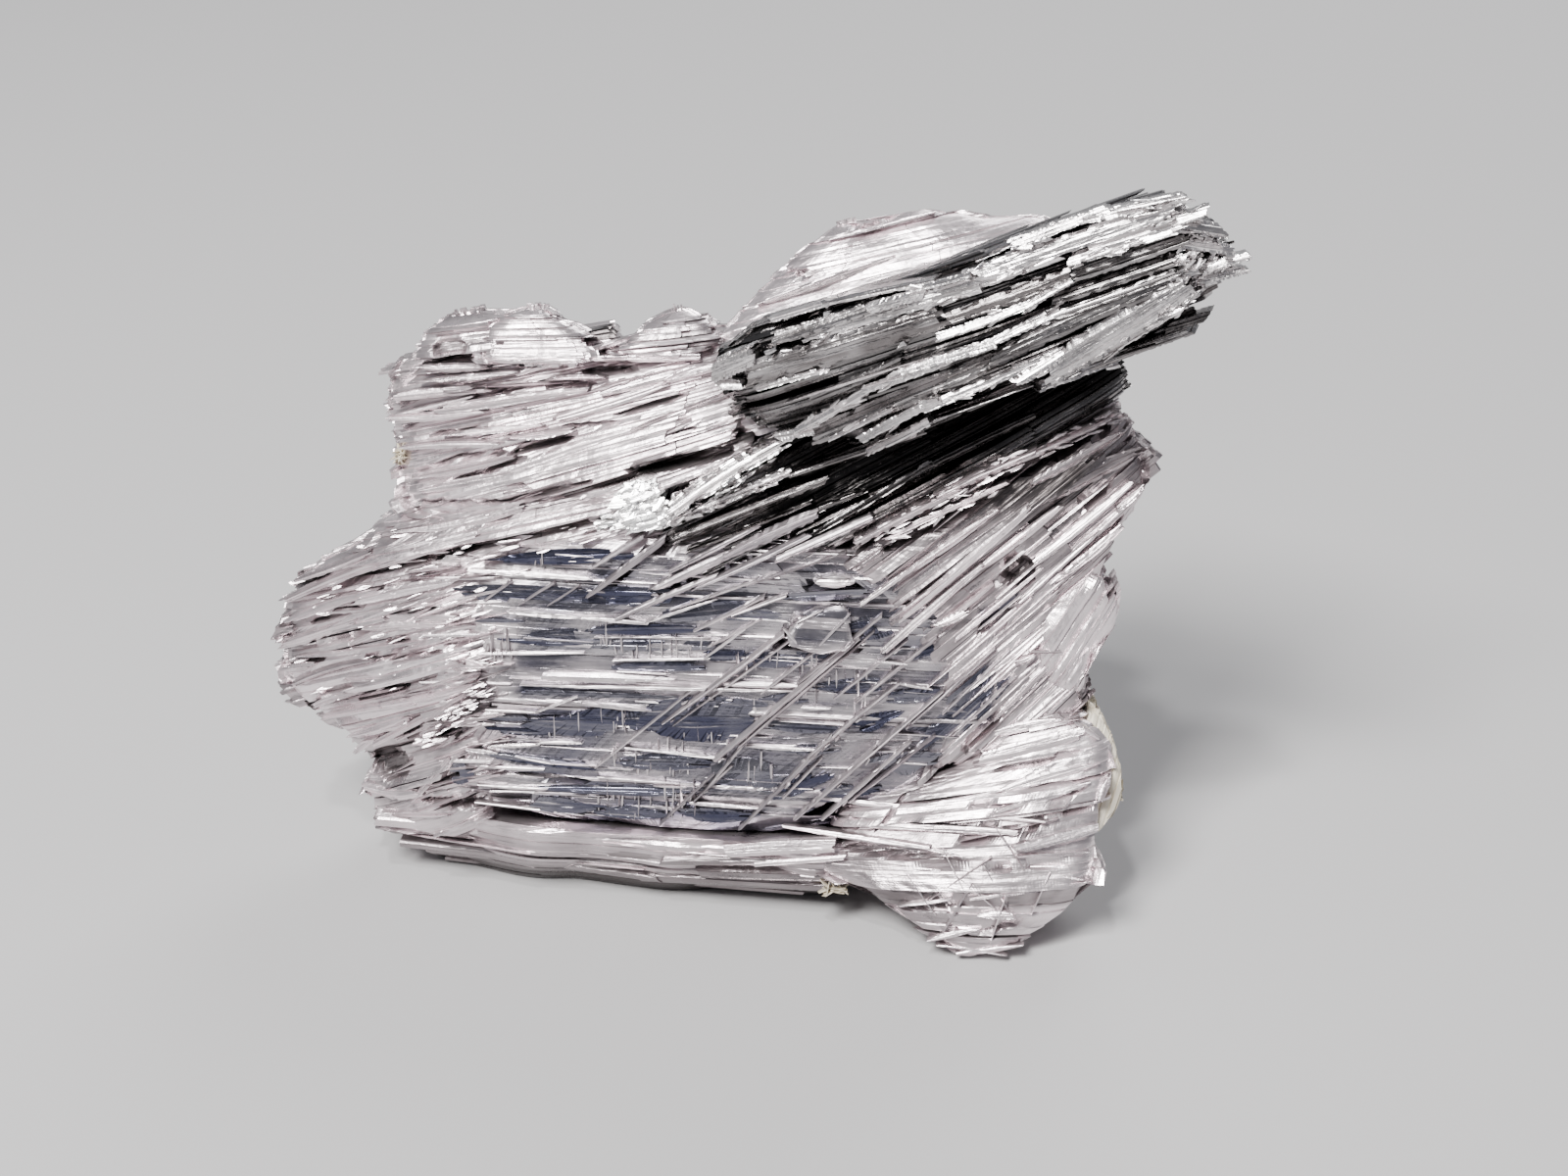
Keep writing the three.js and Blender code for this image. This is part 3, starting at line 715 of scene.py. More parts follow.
FACETS = [
    (-5.6, 9.6, -2.2, 9.92, 0.10, 0.5, 1), (-6.6, 8.68, -3.6, 8.72, 0.08, 0.6, 0),
    (-4.1, 8.72, -1.2, 8.72, 0.08, 0.6, 0), (-5.3, 7.5, -3.1, 7.55, 0.04, 0.55, 2),
    (-3.0, 7.75, 0.0, 7.88, 0.1, 0.34, -1), (-3.1, 7.35, 0.4, 7.4, 0.04, 0.4, 1),
    (-2.5, 6.74, -0.1, 6.8, 0.12, 0.3, 0), (-5.0, 5.93, -0.8, 5.9, 0.12, 0.2, 0),
    (-4.7, 5.1, -2.1, 5.06, 0.1, 0.9, 0), (-2.2, 5.2, -0.9, 5.2, 0.08, 0.6, 1),
    (-1.1, 5.28, 1.5, 5.32, 0.1, 1.35, 0), (-2.35, 4.0, -0.2, 4.0, 0.1, 0.6, 0),
    (-6.0, 4.06, -3.1, 3.8, 0.12, 0.28, 0), (-6.1, 5.13, -4.9, 5.17, 0.1, 0.18, 0),
    (-5.9, 4.78, -4.4, 4.76, 0.06, 0.22, 1), (-4.5, 3.12, -0.6, 3.15, 0.08, 0.34, 1),
    (-4.7, 2.66, -3.0, 2.62, 0.1, 0.5, 0), (-2.9, 2.5, -1.1, 2.44, 0.1, 0.46, 0),
    (-0.5, 2.48, 1.3, 2.52, 0.1, 0.44, 0), (0.7, 3.68, 2.5, 3.8, 0.08, 1.15, 1),
    (1.8, 5.15, 3.9, 5.08, 0.06, 0.4, 2), (1.2, 7.0, 3.5, 7.15, 0.06, 0.5, 1),
    (0.0, 7.1, 1.0, 7.15, 0.06, 0.35, 1), (4.05, 7.9, 5.0, 8.1, 0.08, 0.75, 1),
    (-7.15, 3.4, -6.5, 3.5, 0.08, 0.7, 0), (-1.0, 8.2, 1.3, 8.5, 0.08, 0.5, 2),
    (2.2, 3.3, 3.3, 3.7, 0.06, 0.55, 1), (5.0, 4.05, 6.4, 4.2, 0.1, 0.75, -6),
    (5.3, 6.05, 6.4, 6.1, 0.06, 0.4, 0), (6.2, 4.7, 7.9, 6.3, 0.06, 0.9, 1),
    (3.1, 6.3, 4.7, 6.4, 0.05, 0.45, 2), (-6.4, 7.9, -5.0, 7.95, 0.1, 0.14, -8),
    (4.4, 5.2, 5.4, 5.6, 0.05, 0.5, 1), (1.6, 5.9, 2.6, 5.95, 0.06, 0.4, 1),
    (2.4, 4.4, 3.6, 4.5, 0.05, 0.4, 1), (3.4, 3.2, 4.6, 3.4, 0.05, 0.45, 1),
    (0.6, 8.25, 2.2, 8.3, 0.08, 0.3, -4), (2.3, 8.8, 4.6, 9.0, 0.1, 0.28, -10),
    (6.0, 7.3, 7.0, 7.6, 0.05, 0.4, 1)]
LEDGES = [
    (-6.5, 9.27, -3.1, 9.22, 0.2, 0.22, 14), (-5.4, 8.2, -3.4, 8.13, 0.28, 0.22, 24),
    (-3.6, 8.13, -1.5, 8.0, 0.24, 0.16, 20), (-1.7, 7.98, 0.4, 8.75, 0.24, 0.14, 20),
    (-2.5, 6.93, 0.2, 7.05, 0.2, 0.1, 18), (0.0, 7.02, 1.2, 7.95, 0.24, 0.12, 18),
    (-2.4, 6.62, -1.0, 6.58, 0.2, 0.08, 20), (-5.1, 6.16, 2.9, 6.2, 0.26, 0.16, 26),
    (-4.5, 6.42, -0.9, 6.4, 0.16, 0.4, 14), (0.6, 6.33, 2.9, 6.33, 0.2, 0.26, 22),
    (-3.35, 5.66, -1.45, 5.52, 0.26, 0.17, 26), (-6.1, 5.38, -4.6, 5.36, 0.2, 0.1, 16),
    (-4.7, 5.36, -3.5, 5.88, 0.24, 0.09, 16), (-6.45, 5.22, -5.7, 5.32, 0.2, 0.14, 26),
    (-4.7, 4.48, -3.4, 4.52, 0.2, 0.16, 18), (-6.0, 4.34, -4.6, 4.42, 0.16, 0.2, 14),
    (-6.7, 4.2, -5.8, 4.14, 0.2, 0.17, 26), (-5.3, 4.08, -4.2, 3.88, 0.22, 0.07, 20),
    (-4.3, 3.9, -3.0, 3.87, 0.24, 0.07, 22), (-3.0, 3.52, -0.7, 3.42, 0.2, 0.08, 18),
    (-2.2, 4.42, 0.5, 4.22, 0.22, 0.1, 20), (-0.5, 4.26, 0.6, 4.2, 0.26, 0.1, 28),
    (1.2, 4.56, 3.2, 4.5, 0.18, 0.16, 20), (-0.4, 2.86, 1.6, 2.76, 0.2, 0.16, 22),
    (-6.3, 3.72, -4.5, 3.7, 0.14, 0.16, 10), (-6.4, 3.45, -4.5, 3.45, 0.14, 0.12, 12),
    (-6.4, 3.15, -4.4, 3.12, 0.16, 0.14, 12), (-4.8, 2.98, -2.8, 2.94, 0.14, 0.06, 14),
    (2.3, 5.5, 4.1, 5.4, 0.14, 0.06, 14), (2.7, 5.72, 3.5, 5.7, 0.2, 0.14, 24),
    (2.1, 5.3, 4.0, 5.22, 0.14, 0.05, 14), (-3.0, 7.56, 0.2, 7.62, 0.12, 0.06, 12),
    (4.8, 7.1, 5.6, 7.05, 0.3, 0.13, 30), (5.2, 6.5, 6.3, 6.32, 0.24, 0.12, 22),
    (5.5, 4.18, 6.2, 4.14, 0.2, 0.07, 20), (-6.5, 2.6, -3.4, 2.35, 0.14, 0.1, 14),
    (-7.9, 7.35, -5.9, 7.5, 0.1, 0.14, 14), (-8.0, 6.0, -5.4, 6.14, 0.12, 0.18, 16),
    (-7.6, 5.5, -6.0, 5.62, 0.12, 0.14, 14), (-7.8, 4.8, -5.9, 4.95, 0.12, 0.2, 16),
    (-7.4, 8.3, -5.6, 8.45, 0.1, 0.18, 14), (-7.5, 9.0, -5.8, 9.1, 0.12, 0.14, 16),
    (-7.5, 3.75, -6.0, 3.85, 0.12, 0.16, 14), (-7.7, 6.6, -6.0, 6.7, 0.1, 0.2, 12),
    (-6.3, 6.95, -3.3, 7.1, 0.12, 0.16, 12), (-4.4, 5.72, -3.4, 5.7, 0.12, 0.08, 14),
    (-1.4, 3.3, -0.5, 3.3, 0.14, 0.1, 16)]
PALE_HAIRS = [
    (-2.5, -0.4, 3.55, 4.1, 20), (-1.0, 1.2, 4.5, 4.9, 16), (-3.2, -0.2, 2.2, 3.1, 24),
    (-3.0, 0.0, 6.9, 7.4, 20), (-4.4, -2.2, 4.6, 5.4, 12), (0.8, 3.6, 6.5, 7.0, 14),
    (2.6, 4.8, 5.4, 6.6, 14), (-6.1, -5.3, 6.7, 7.4, 18), (0.9, 2.4, 3.1, 4.0, 5),
    (1.2, 1.5, 5.4, 5.6, 2), (-2.25, -2.15, 4.5, 5.5, 5), (-4.7, -4.4, 9.4, 9.6, 3)]
joined("middle_face", [
    sheaf(face_plan, seed=3, laths=44, stations=80, thick=plate_back, ledge=0.04, groove=0.08, tilt=3,
          own_tilt=4, lean=3, roof=0.12, ragged=0.8, grouping=0.2, drop=0.08, mixed=0.7, rounding=0.7,
          mirrors=1.0, pale=lambda x, s: 0.6 + 0.25 * ripple(x, s, seed=2, size=3.0),
          mirror_at=painted_reflection_share, slots=FACE_SLOTS),
    strands(laid(plate_front, FACETS, wider=1.25), seed=8, lines=4, stations=40, depth=0.4, stria=0.003,
            roof=0.0, chip=0.1, mirrors=1.0, taper=(0.3, 0.85), pale=0.4, spread=0.2, bow=0.02,
            slant=1.0, ragged=0.6),
    strands(laid(plate_front, LEDGES), seed=4, lines=2, stations=40, depth=0.4, stria=0.008, chip=0.12,
            taper=(0.5, 0.9), pale=0.85, spread=0.15, ragged=0.1),
    strands(ticks(plate_front, PALE_HAIRS, seed=9), seed=10, lines=1, stations=4, depth=0.15, chip=0,
            pale=0.9, taper=(0.3, 0.9)),
    strands(scattered(face_plan, number=60, seed=6, length=(0.8, 4), width=(0.03, 0.1),
                      lift=(0.03, 0.12), turn=1, tilt=(10, 8), pitch=0.02), seed=7, lines=1,
            stations=20, depth=0.3, stria=0.008, pale=0.65, chip=0.1),
], face_metal)

# --- Table crystals on the face ---
# Two small flat crystals grown across the laths: a boat-shaped one with a mirror-smooth top, painted dark as
# a reflection, and pale rims, and a bright flake above it.
boat_plan = plan([
    (2.2, 7.65), (2.6, 8.3), (3.2, 8.65), (4.0, 8.65), (4.1, 8.0), (3.9, 7.55), (2.9, 7.38)],
    heading=-3, front=plate_front, lift=0.6, cant=4)
flake_plan = plan([
    (3.0, 9.3), (3.3, 9.5), (3.9, 9.5), (4.2, 9.35), (3.7, 9.2)],
    heading=0, front=plate_front, lift=0.5, cant=20)
BOAT_RIMS = [
    (2.25, 8.05, 2.65, 7.6, 0.64, 0.16, 22), (2.4, 7.62, 3.9, 7.5, 0.6, 0.12, 26),
    (3.2, 7.62, 4.05, 8.55, 0.66, 0.1, 16), (2.6, 8.25, 3.3, 8.62, 0.64, 0.08, 20)]
joined("table_crystals", [
    sheaf(boat_plan, seed=11, laths=8, stations=24, thick=0.6, rounding=0.2, ledge=0.0, tilt=1,
          own_tilt=2, groove=0.01, roof=0.05, mirrors=1.0,
          mirror_at=lambda x, s: 0.8 * inside(x, s, [(2.5, 4.0, 7.75, 8.6, 0.0)]), ragged=0.03,
          pale=0.4, layers=1, rough=0.04, breaks=0.0, stria=0.006),
    strands(laid(plate_front, BOAT_RIMS), seed=10, lines=2, stations=16, depth=0.3, stria=0.005,
            roof=0.2, chip=0.1, pale=0.9, spread=0.05, taper=(0.4, 0.8)),
    sheaf(flake_plan, seed=12, laths=4, stations=12, thick=0.6, rounding=0.1, ragged=0.03, pale=1.1,
          layers=1, rough=0.05, ledge=0.02, tilt=3, own_tilt=3, breaks=0.0),
], face_metal)

# --- Left wing ---
# Overlapping blades that fan to the left, with dark slots and pockets where one ends on the next, and a
# glittering seam of chips where the fan meets the middle face.


def lath_tips(made, back, number, seed, end="finish", length=(0.4, 1.2), width=(0.08, 0.32),
              proud=(-0.06, 0.1), depth=0.25, taper=(0.0, 0.4), **look):
    """The tips of laths that stand out of a sheaf's broken side: short strands that end a little proud of
    the plan's outline, at random heights between its front and the back."""
    rng = np.random.default_rng(seed)
    way = 1 if end == "finish" else -1
    v = rng.uniform(made["low"], made["high"], number)
    tip = np.interp(v, made["v"], made[end]) + way * rng.uniform(*proud, number)
    x0, s0, _ = on_plan(made, tip - way * rng.uniform(*length, number), v)
    x1, s1, front = on_plan(made, tip, v)
    level = front + rng.uniform(0.15, 0.85, number) * (back(x1, s1) - front)
    sides = [x0, s0, level, x1, s1, level] if way > 0 else [x1, s1, level, x0, s0, level]
    rows = np.stack([*sides, rng.uniform(*width, number), rng.normal(8, 25, number)], 1)
    return strands(rows, seed=seed + 1, lines=2, stations=6, depth=depth, stria=0.01, taper=taper, **look)


def clump(middle, radii, number, seed, length=(0.15, 0.45), width=(0.1, 0.3), heading=(25, 35),
          tilt=(10, 40), dive=0.3):
    """Rows for strands: chips at random places on the front half of an ellipsoid's surface, whose heading
    and tilt have the given mean and spread, and whose ends differ in height by about the dive."""
    rng = np.random.default_rng(seed)
    way = rng.normal(0, 1, (number, 3))
    way[:, 2] = np.abs(way[:, 2])
    place = np.array(middle) + way / np.linalg.norm(way, axis=1, keepdims=True) * np.array(radii)
    angle = np.radians(rng.normal(*heading, number))
    run = np.stack([np.cos(angle), np.sin(angle), rng.normal(0, dive, number)], 1)
    run *= rng.uniform(*length, number)[:, None]
    return np.concatenate([place - run / 2, place + run / 2, rng.uniform(*width, (number, 1)),
                           rng.normal(*tilt, (number, 1))], 1)


# Heading and tilt, in degrees, at which a flat chip mirrors the key light into the camera.
GLINT_HEADING = 20
GLINT_TILT = 24.5


def glints(rows, seed):
    """Small flat chips, which flash where their heading and tilt are those of a mirror for the key light."""
    return strands(rows, seed=seed, lines=1, stations=8, depth=0.3, stria=0.004, roof=0.04, pale=1.0,
                   spread=0.05, chip=0.2)


def left_front(x, s):
    """Height of the left wing: the plate's front, sinking under the middle face where they meet."""
    return plate_front(x, s) - 0.4 * np.clip((x + 7.2) / 1.4, 0, 1) * np.clip((10.2 - s) / 0.8, 0, 1)


# Its darkest colour is painted shade.
wing_metal = striated_metal("wing_metal", pale=(0.93, 0.84, 0.865), grey=(0.42, 0.37, 0.385),
                            hollow=(0.105, 0.093, 0.094), metal=0.92, rough=(0.22, 0.42), across=7.0,
                            lines=0.00004)
LEFT_SLOTS = [
    (-11.3, 7.35, -9.6, 8.05, 0.12, 0.5), (-8.9, 7.8, -7.4, 8.15, 0.26, 0.5),
    (-8.9, 7.1, -8.4, 7.12, 0.3, 0.3), (-10.1, 7.1, -9.7, 7.15, 0.3, 0.3),
    (-7.2, 7.2, -6.6, 7.24, 0.2, 0.3), (-11.9, 6.05, -10.9, 6.4, 0.16, 0.5),
    (-11.1, 5.3, -10.1, 5.65, 0.2, 0.5), (-11.5, 4.7, -11.0, 5.2, 0.16, 0.4),
    (-9.9, 5.3, -8.4, 5.85, 0.14, 0.4), (-11.1, 4.3, -9.9, 4.85, 0.14, 0.4),
    (-8.7, 4.35, -8.0, 4.9, 0.24, 0.6), (-9.5, 3.3, -8.5, 3.5, 0.9, 0.7),
    (-10.9, 6.85, -9.4, 7.3, 0.1, 0.3), (-9.6, 6.5, -7.4, 6.95, 0.1, 0.35),
    (-8.0, 10.7, -5.0, 11.35, 0.2, 0.6), (-9.3, 9.95, -8.4, 10.0, 0.25, 0.25),
    (-6.4, 10.5, -5.3, 10.85, 0.12, 0.4), (-7.4, 9.5, -6.2, 9.9, 0.1, 0.3),
    (-10.4, 8.6, -8.6, 9.2, 0.08, 0.3), (-7.4, 3.0, -6.6, 3.9, 0.5, 0.5),
    (-8.0, 2.45, -6.0, 2.6, 0.2, 0.5)]
left_plan = plan([
    (-9.1, 1.5), (-9.8, 2.3), (-9.75, 3.2), (-10.3, 3.8), (-11.2, 4.6), (-12.0, 5.3), (-12.2, 6.0),
    (-12.0, 6.9), (-12.1, 7.7), (-11.85, 8.5), (-11.0, 9.1), (-10.0, 9.6), (-9.2, 10.3), (-8.0, 10.9),
    (-5.0, 11.5), (-2.0, 11.7), (-1.0, 11.0), (-3.0, 9.8), (-5.4, 8.8), (-5.4, 6.0), (-5.6, 4.0),
    (-6.4, 1.5)], heading=20, front=plate_front, fan=-14, lift=0.04)
LEFT_BLADES = [
    (-12.0, 8.0, -8.2, 9.7, 0.25, 0.5, 16), (-11.7, 8.6, -9.4, 9.6, 0.25, 0.35, 20),
    (-11.9, 7.4, -9.3, 8.5, 0.25, 0.45, 14), (-9.8, 8.2, -6.8, 9.0, 0.3, 0.5, 14),
    (-9.2, 9.2, -6.2, 10.3, 0.25, 0.5, 16), (-8.6, 10.2, -5.0, 11.1, 0.2, 0.5, 18),
    (-12.1, 6.7, -9.9, 7.6, 0.25, 0.5, 16), (-9.6, 7.4, -7.3, 7.75, 0.2, 0.4, 12),
    (-11.8, 6.35, -8.0, 7.2, 0.25, 0.3, 18), (-12.2, 5.9, -11.3, 6.1, 0.2, 0.4, 14),
    (-11.9, 5.5, -9.4, 6.5, 0.25, 0.4, 16), (-10.2, 5.9, -6.8, 6.7, 0.28, 0.4, 18),
    (-11.3, 4.9, -9.8, 5.5, 0.25, 0.3, 20), (-11.0, 4.6, -8.2, 5.4, 0.25, 0.35, 16),
    (-9.2, 5.2, -6.4, 6.1, 0.3, 0.35, 20), (-10.3, 4.1, -8.6, 4.9, 0.28, 0.35, 18),
    (-9.5, 4.0, -6.3, 6.05, 0.35, 0.3, 22), (-8.0, 4.5, -6.3, 5.3, 0.3, 0.2, 24),
    (-7.7, 4.45, -7.0, 4.6, 0.3, 0.3, 28), (-10.1, 3.6, -9.5, 4.1, 0.2, 0.35, 14),
    (-9.8, 2.6, -8.2, 2.7, 0.2, 0.5, 12), (-8.4, 2.4, -7.2, 3.9, 0.2, 0.35, 14),
    (-9.0, 1.9, -7.2, 2.2, 0.2, 0.3, 14), (-7.3, 6.5, -6.2, 6.6, 0.2, 0.5, 16)]
seam_plan = plan([
    (-8.6, 3.2), (-8.8, 9.6), (-5.4, 10.0), (-5.2, 6.0), (-5.6, 3.2)],
    heading=14, front=plate_front, fan=-8)
seam_chips = np.concatenate([
    clump((-7.7 + 0.5 * k, 4.55 + 0.47 * k, 0.45 + 0.06 * k), (0.34, 0.2, 0.08), number=13, seed=92 + k,
          length=(0.12, 0.45), width=(0.05, 0.15), heading=(GLINT_HEADING, 4), tilt=(GLINT_TILT, 3),
          dive=0.02) for k in range(4)])
joined("left_wing", [
    sheaf({**left_plan, "front": left_front}, seed=21, laths=48, thick=plate_back, ledge=0.12,
          groove=0.2, tilt=9, own_tilt=7, drop=0.12, rounding=0.7, lean=15, slots=LEFT_SLOTS,
          ragged=0.12, roof=0.2, pale=lambda x, s: 0.68 + 0.3 * ripple(x, s, seed=23, size=3.0)),
    lath_tips(left_plan, plate_back, number=80, seed=24, end="begin", pale=0.7),
    strands(laid(plate_front, LEFT_BLADES, steeper=7), seed=22, lines=6, stations=32, depth=0.6,
            stria=0.02, roof=0.15, chip=0.2, taper=(0.4, 0.9), slant=1.0, pale=0.7, bow=0.15),
    strands(scattered(seam_plan, number=26, seed=26, length=(1.0, 2.8), width=(0.08, 0.34),
                      lift=(0.08, 0.26), turn=5, pitch=0.05, tilt=(16, 8)), seed=29, lines=3, roof=0.15,
            ragged=0.15, pale=0.6, chip=0.3, slant=1.0),
    strands(scattered(left_plan, number=20, seed=27, length=(1.0, 3.2), width=(0.08, 0.35),
                      lift=(0.04, 0.14), turn=6, pitch=0.04, tilt=(12, 10)), seed=28, lines=3,
            roof=0.15, ragged=0.1, pale=0.65, chip=0.3),
    glints(scattered(left_plan, number=170, seed=90, length=(0.15, 0.65), width=(0.03, 0.2),
                     lift=(-0.05, 0.16), turn=3, pitch=0.005, tilt=(GLINT_TILT, 6), area=(0.5, 0.97),
                     level=True), seed=91),
    glints(seam_chips, seed=96),
], wing_metal)

# --- Upper-left wing ---
# A fan of wedge-shaped blades that spreads from the bundle's root, with a table-shaped crystal on its
# crest and a small lobe beside it. The cracks between the blades are cut as slots.
UPPER_SLOTS = [
    (-6.1, 14.95, -4.4, 14.92, 0.12, 0.5), (-7.4, 15.3, -6.6, 15.35, 0.5, 0.45),
    (-3.2, 14.75, -1.8, 14.82, 0.16, 0.6), (-4.5, 14.42, -2.9, 14.42, 0.12, 0.4),
    (-1.9, 15.42, 0.0, 15.35, 0.06, 0.2), (-5.8, 14.05, -4.9, 14.35, 0.12, 0.3),
    (-8.5, 13.75, -8.2, 13.78, 0.3, 0.3), (-8.3, 13.05, -8.1, 13.1, 0.25, 0.3),
    (-7.5, 12.9, -5.9, 13.12, 0.1, 0.35), (-2.3, 13.65, -0.6, 14.18, 0.13, 0.5),
    (-5.3, 12.5, -3.6, 13.0, 0.16, 0.6), (-8.0, 11.8, -6.9, 12.3, 0.1, 0.4),
    (-6.9, 12.32, -5.5, 12.48, 0.12, 0.4), (-7.3, 11.5, -4.9, 12.45, 0.13, 0.5),
    (-8.0, 11.0, -5.4, 11.22, 0.12, 0.4), (-5.4, 11.22, -3.0, 11.9, 0.14, 0.5),
    (-1.9, 12.25, 0.8, 12.75, 0.35, 0.7), (-0.9, 13.15, -0.1, 13.42, 0.1, 0.4),
    (-3.9, 13.3, -1.9, 13.5, 0.08, 0.3)]
upper_plan = plan([
    (-8.0, 10.8), (-8.6, 12.3), (-8.9, 13.2), (-9.0, 14.0), (-8.2, 14.6), (-7.95, 15.4), (-7.6, 15.85),
    (-7.0, 16.15), (-5.9, 16.2), (-4.7, 16.1), (-3.5, 15.4), (-2.7, 15.1), (-1.9, 15.2), (-0.8, 15.6),
    (0.5, 15.5), (1.6, 15.0), (1.6, 13.0), (-0.8, 11.5), (-4.0, 11.0)],
    heading=14, front=plate_front, fan=-12)
UPPER_BLADES = [
    (-7.9, 14.75, -5.9, 14.85, 0.2, 0.45, 14), (-8.0, 14.35, -5.2, 14.7, 0.22, 0.35, 18),
    (-8.7, 13.9, -6.0, 14.2, 0.2, 0.4, 16), (-7.4, 13.6, -3.2, 14.3, 0.25, 0.45, 14),
    (-8.8, 13.3, -6.2, 13.6, 0.2, 0.4, 16), (-5.4, 12.95, -3.6, 13.25, 0.4, 0.35, 22),
    (-7.2, 12.9, -4.4, 13.3, 0.25, 0.3, 16), (-4.0, 13.5, -1.0, 14.5, 0.25, 0.4, 16),
    (-8.5, 12.5, -5.7, 12.75, 0.25, 0.4, 16), (-8.1, 11.7, -5.3, 12.4, 0.28, 0.35, 18),
    (-7.9, 11.35, -4.4, 12.15, 0.25, 0.45, 16), (-5.2, 12.1, -1.8, 13.3, 0.25, 0.5, 14),
    (-3.6, 12.6, -0.4, 13.6, 0.25, 0.4, 16), (-5.5, 11.5, -1.4, 12.6, 0.3, 0.4, 16),
    (-2.6, 12.3, 0.9, 13.2, 0.3, 0.3, 20), (-1.9, 13.3, 1.0, 14.4, 0.3, 0.3, 20),
    (-1.4, 12.95, 1.2, 13.75, 0.3, 0.25, 24), (-2.8, 14.2, 0.3, 14.95, 0.25, 0.5, 10),
    (-4.3, 14.55, -2.7, 14.65, 0.3, 0.2, 22), (-2.7, 15.15, -0.1, 15.2, 0.25, 0.3, 12),
    (-3.3, 15.1, -2.1, 15.15, 0.2, 0.25, 20), (-3.9, 15.1, -3.2, 15.1, 0.4, 0.4, 24),
    (-1.0, 14.6, 0.4, 15.0, 0.25, 0.35, 14), (-7.2, 14.2, -6.4, 14.3, 0.4, 0.25, 26)]
crest_plan = plan([
    (-5.95, 15.0), (-6.0, 15.8), (-5.4, 16.25), (-4.6, 16.42), (-4.0, 16.2), (-3.1, 15.7), (-2.9, 15.3),
    (-3.1, 15.0), (-4.5, 14.95)], heading=2, front=plate_front, lift=0.45, cant=4)
small_lobe = plan([
    (-2.3, 15.3), (-1.9, 15.8), (-1.2, 16.2), (-0.5, 16.38), (0.1, 16.15), (0.5, 15.6), (-0.6, 15.2)],
    heading=6, front=plate_front, lift=0.3, cant=14)
joined("upper_left_wing", [
    sheaf(upper_plan, seed=31, laths=46, thick=plate_back, ledge=0.1, groove=0.2, tilt=8, own_tilt=7,
          drop=0.12, rounding=0.7, lean=13, slots=UPPER_SLOTS, ragged=0.12, roof=0.2,
          pale=lambda x, s: 0.75 + 0.3 * ripple(x, s, seed=35, size=3.0)),
    lath_tips(upper_plan, plate_back, number=70, seed=36, end="begin", pale=0.7),
    sheaf(crest_plan, seed=32, laths=12, stations=32, thick=1.4, rounding=0.4, ledge=0.05, tilt=8,
          own_tilt=6, groove=0.08, roof=0.12, ragged=0.14, pale=0.75, drop=0.1, breaks=0.8),
    sheaf(small_lobe, seed=33, laths=9, stations=32, thick=1.4, rounding=0.35, ledge=0.05, tilt=8,
          own_tilt=6, groove=0.08, roof=0.12, ragged=0.14, pale=0.75, drop=0.1, breaks=0.8),
    strands(laid(plate_front, UPPER_BLADES, steeper=5), seed=34, lines=6, stations=32, depth=0.6,
            stria=0.02, roof=0.15, chip=0.2, taper=(0.4, 0.9), slant=1.0, pale=0.75, bow=0.15),
    strands(scattered(upper_plan, number=14, seed=42, length=(1, 4), width=(0.08, 0.35),
                      lift=(0.04, 0.14), turn=5, pitch=0.04, tilt=(12, 10)), seed=43, lines=3,
            roof=0.15, ragged=0.1, pale=0.65, chip=0.3),
], wing_metal)

# --- Bright patch ---
# A knot of small bright crystals where the two left wings and the lower bundle meet, most of them turned to
# the light; their near-white colour is a painted highlight. Each row of flakes is what clump asks for, and
# then their roof and stria.
FLAKES = [
    ((-1.7, 11.35, 0.85), (0.42, 0.5, 0.35), 26, 11,
     (0.35, 0.8), (0.3, 0.55), (GLINT_HEADING, 5), (GLINT_TILT, 2.5), 0.03, 0.03, 0.003),
    ((-1.6, 10.95, 0.85), (0.5, 0.25, 0.3), 18, 18,
     (0.35, 0.9), (0.3, 0.5), (GLINT_HEADING, 5), (GLINT_TILT, 2.5), 0.03, 0.03, 0.003),
    ((-1.75, 11.4, 0.75), (0.42, 0.5, 0.4), 50, 13,
     (0.25, 0.6), (0.15, 0.4), (GLINT_HEADING, 12), (24, 6), 0.1, 0.06, 0.005),
    ((-1.45, 10.95, 0.75), (0.55, 0.3, 0.35), 50, 15,
     (0.25, 0.7), (0.15, 0.4), (GLINT_HEADING, 12), (24, 6), 0.1, 0.06, 0.005),
    ((-2.3, 10.95, 0.5), (0.6, 0.3, 0.25), 24, 17,
     (0.3, 0.8), (0.12, 0.3), (15, 8), (24, 6), 0.1, 0.06, 0.005)]
joined("bright_patch", [
    strands(clump(*shape), seed=shape[3] + 1, lines=2, stations=8, depth=0.3, chip=0.3, pale=1.0,
            taper=(0.3, 0.9), roof=roof, stria=stria) for *shape, roof, stria in FLAKES
], striated_metal("bright_metal", pale=(1, 0.99, 0.99), grey=(0.97, 0.95, 0.95),
                  hollow=(0.7, 0.67, 0.66), metal=1.0, rough=(0.22, 0.36), lines=0.00001))

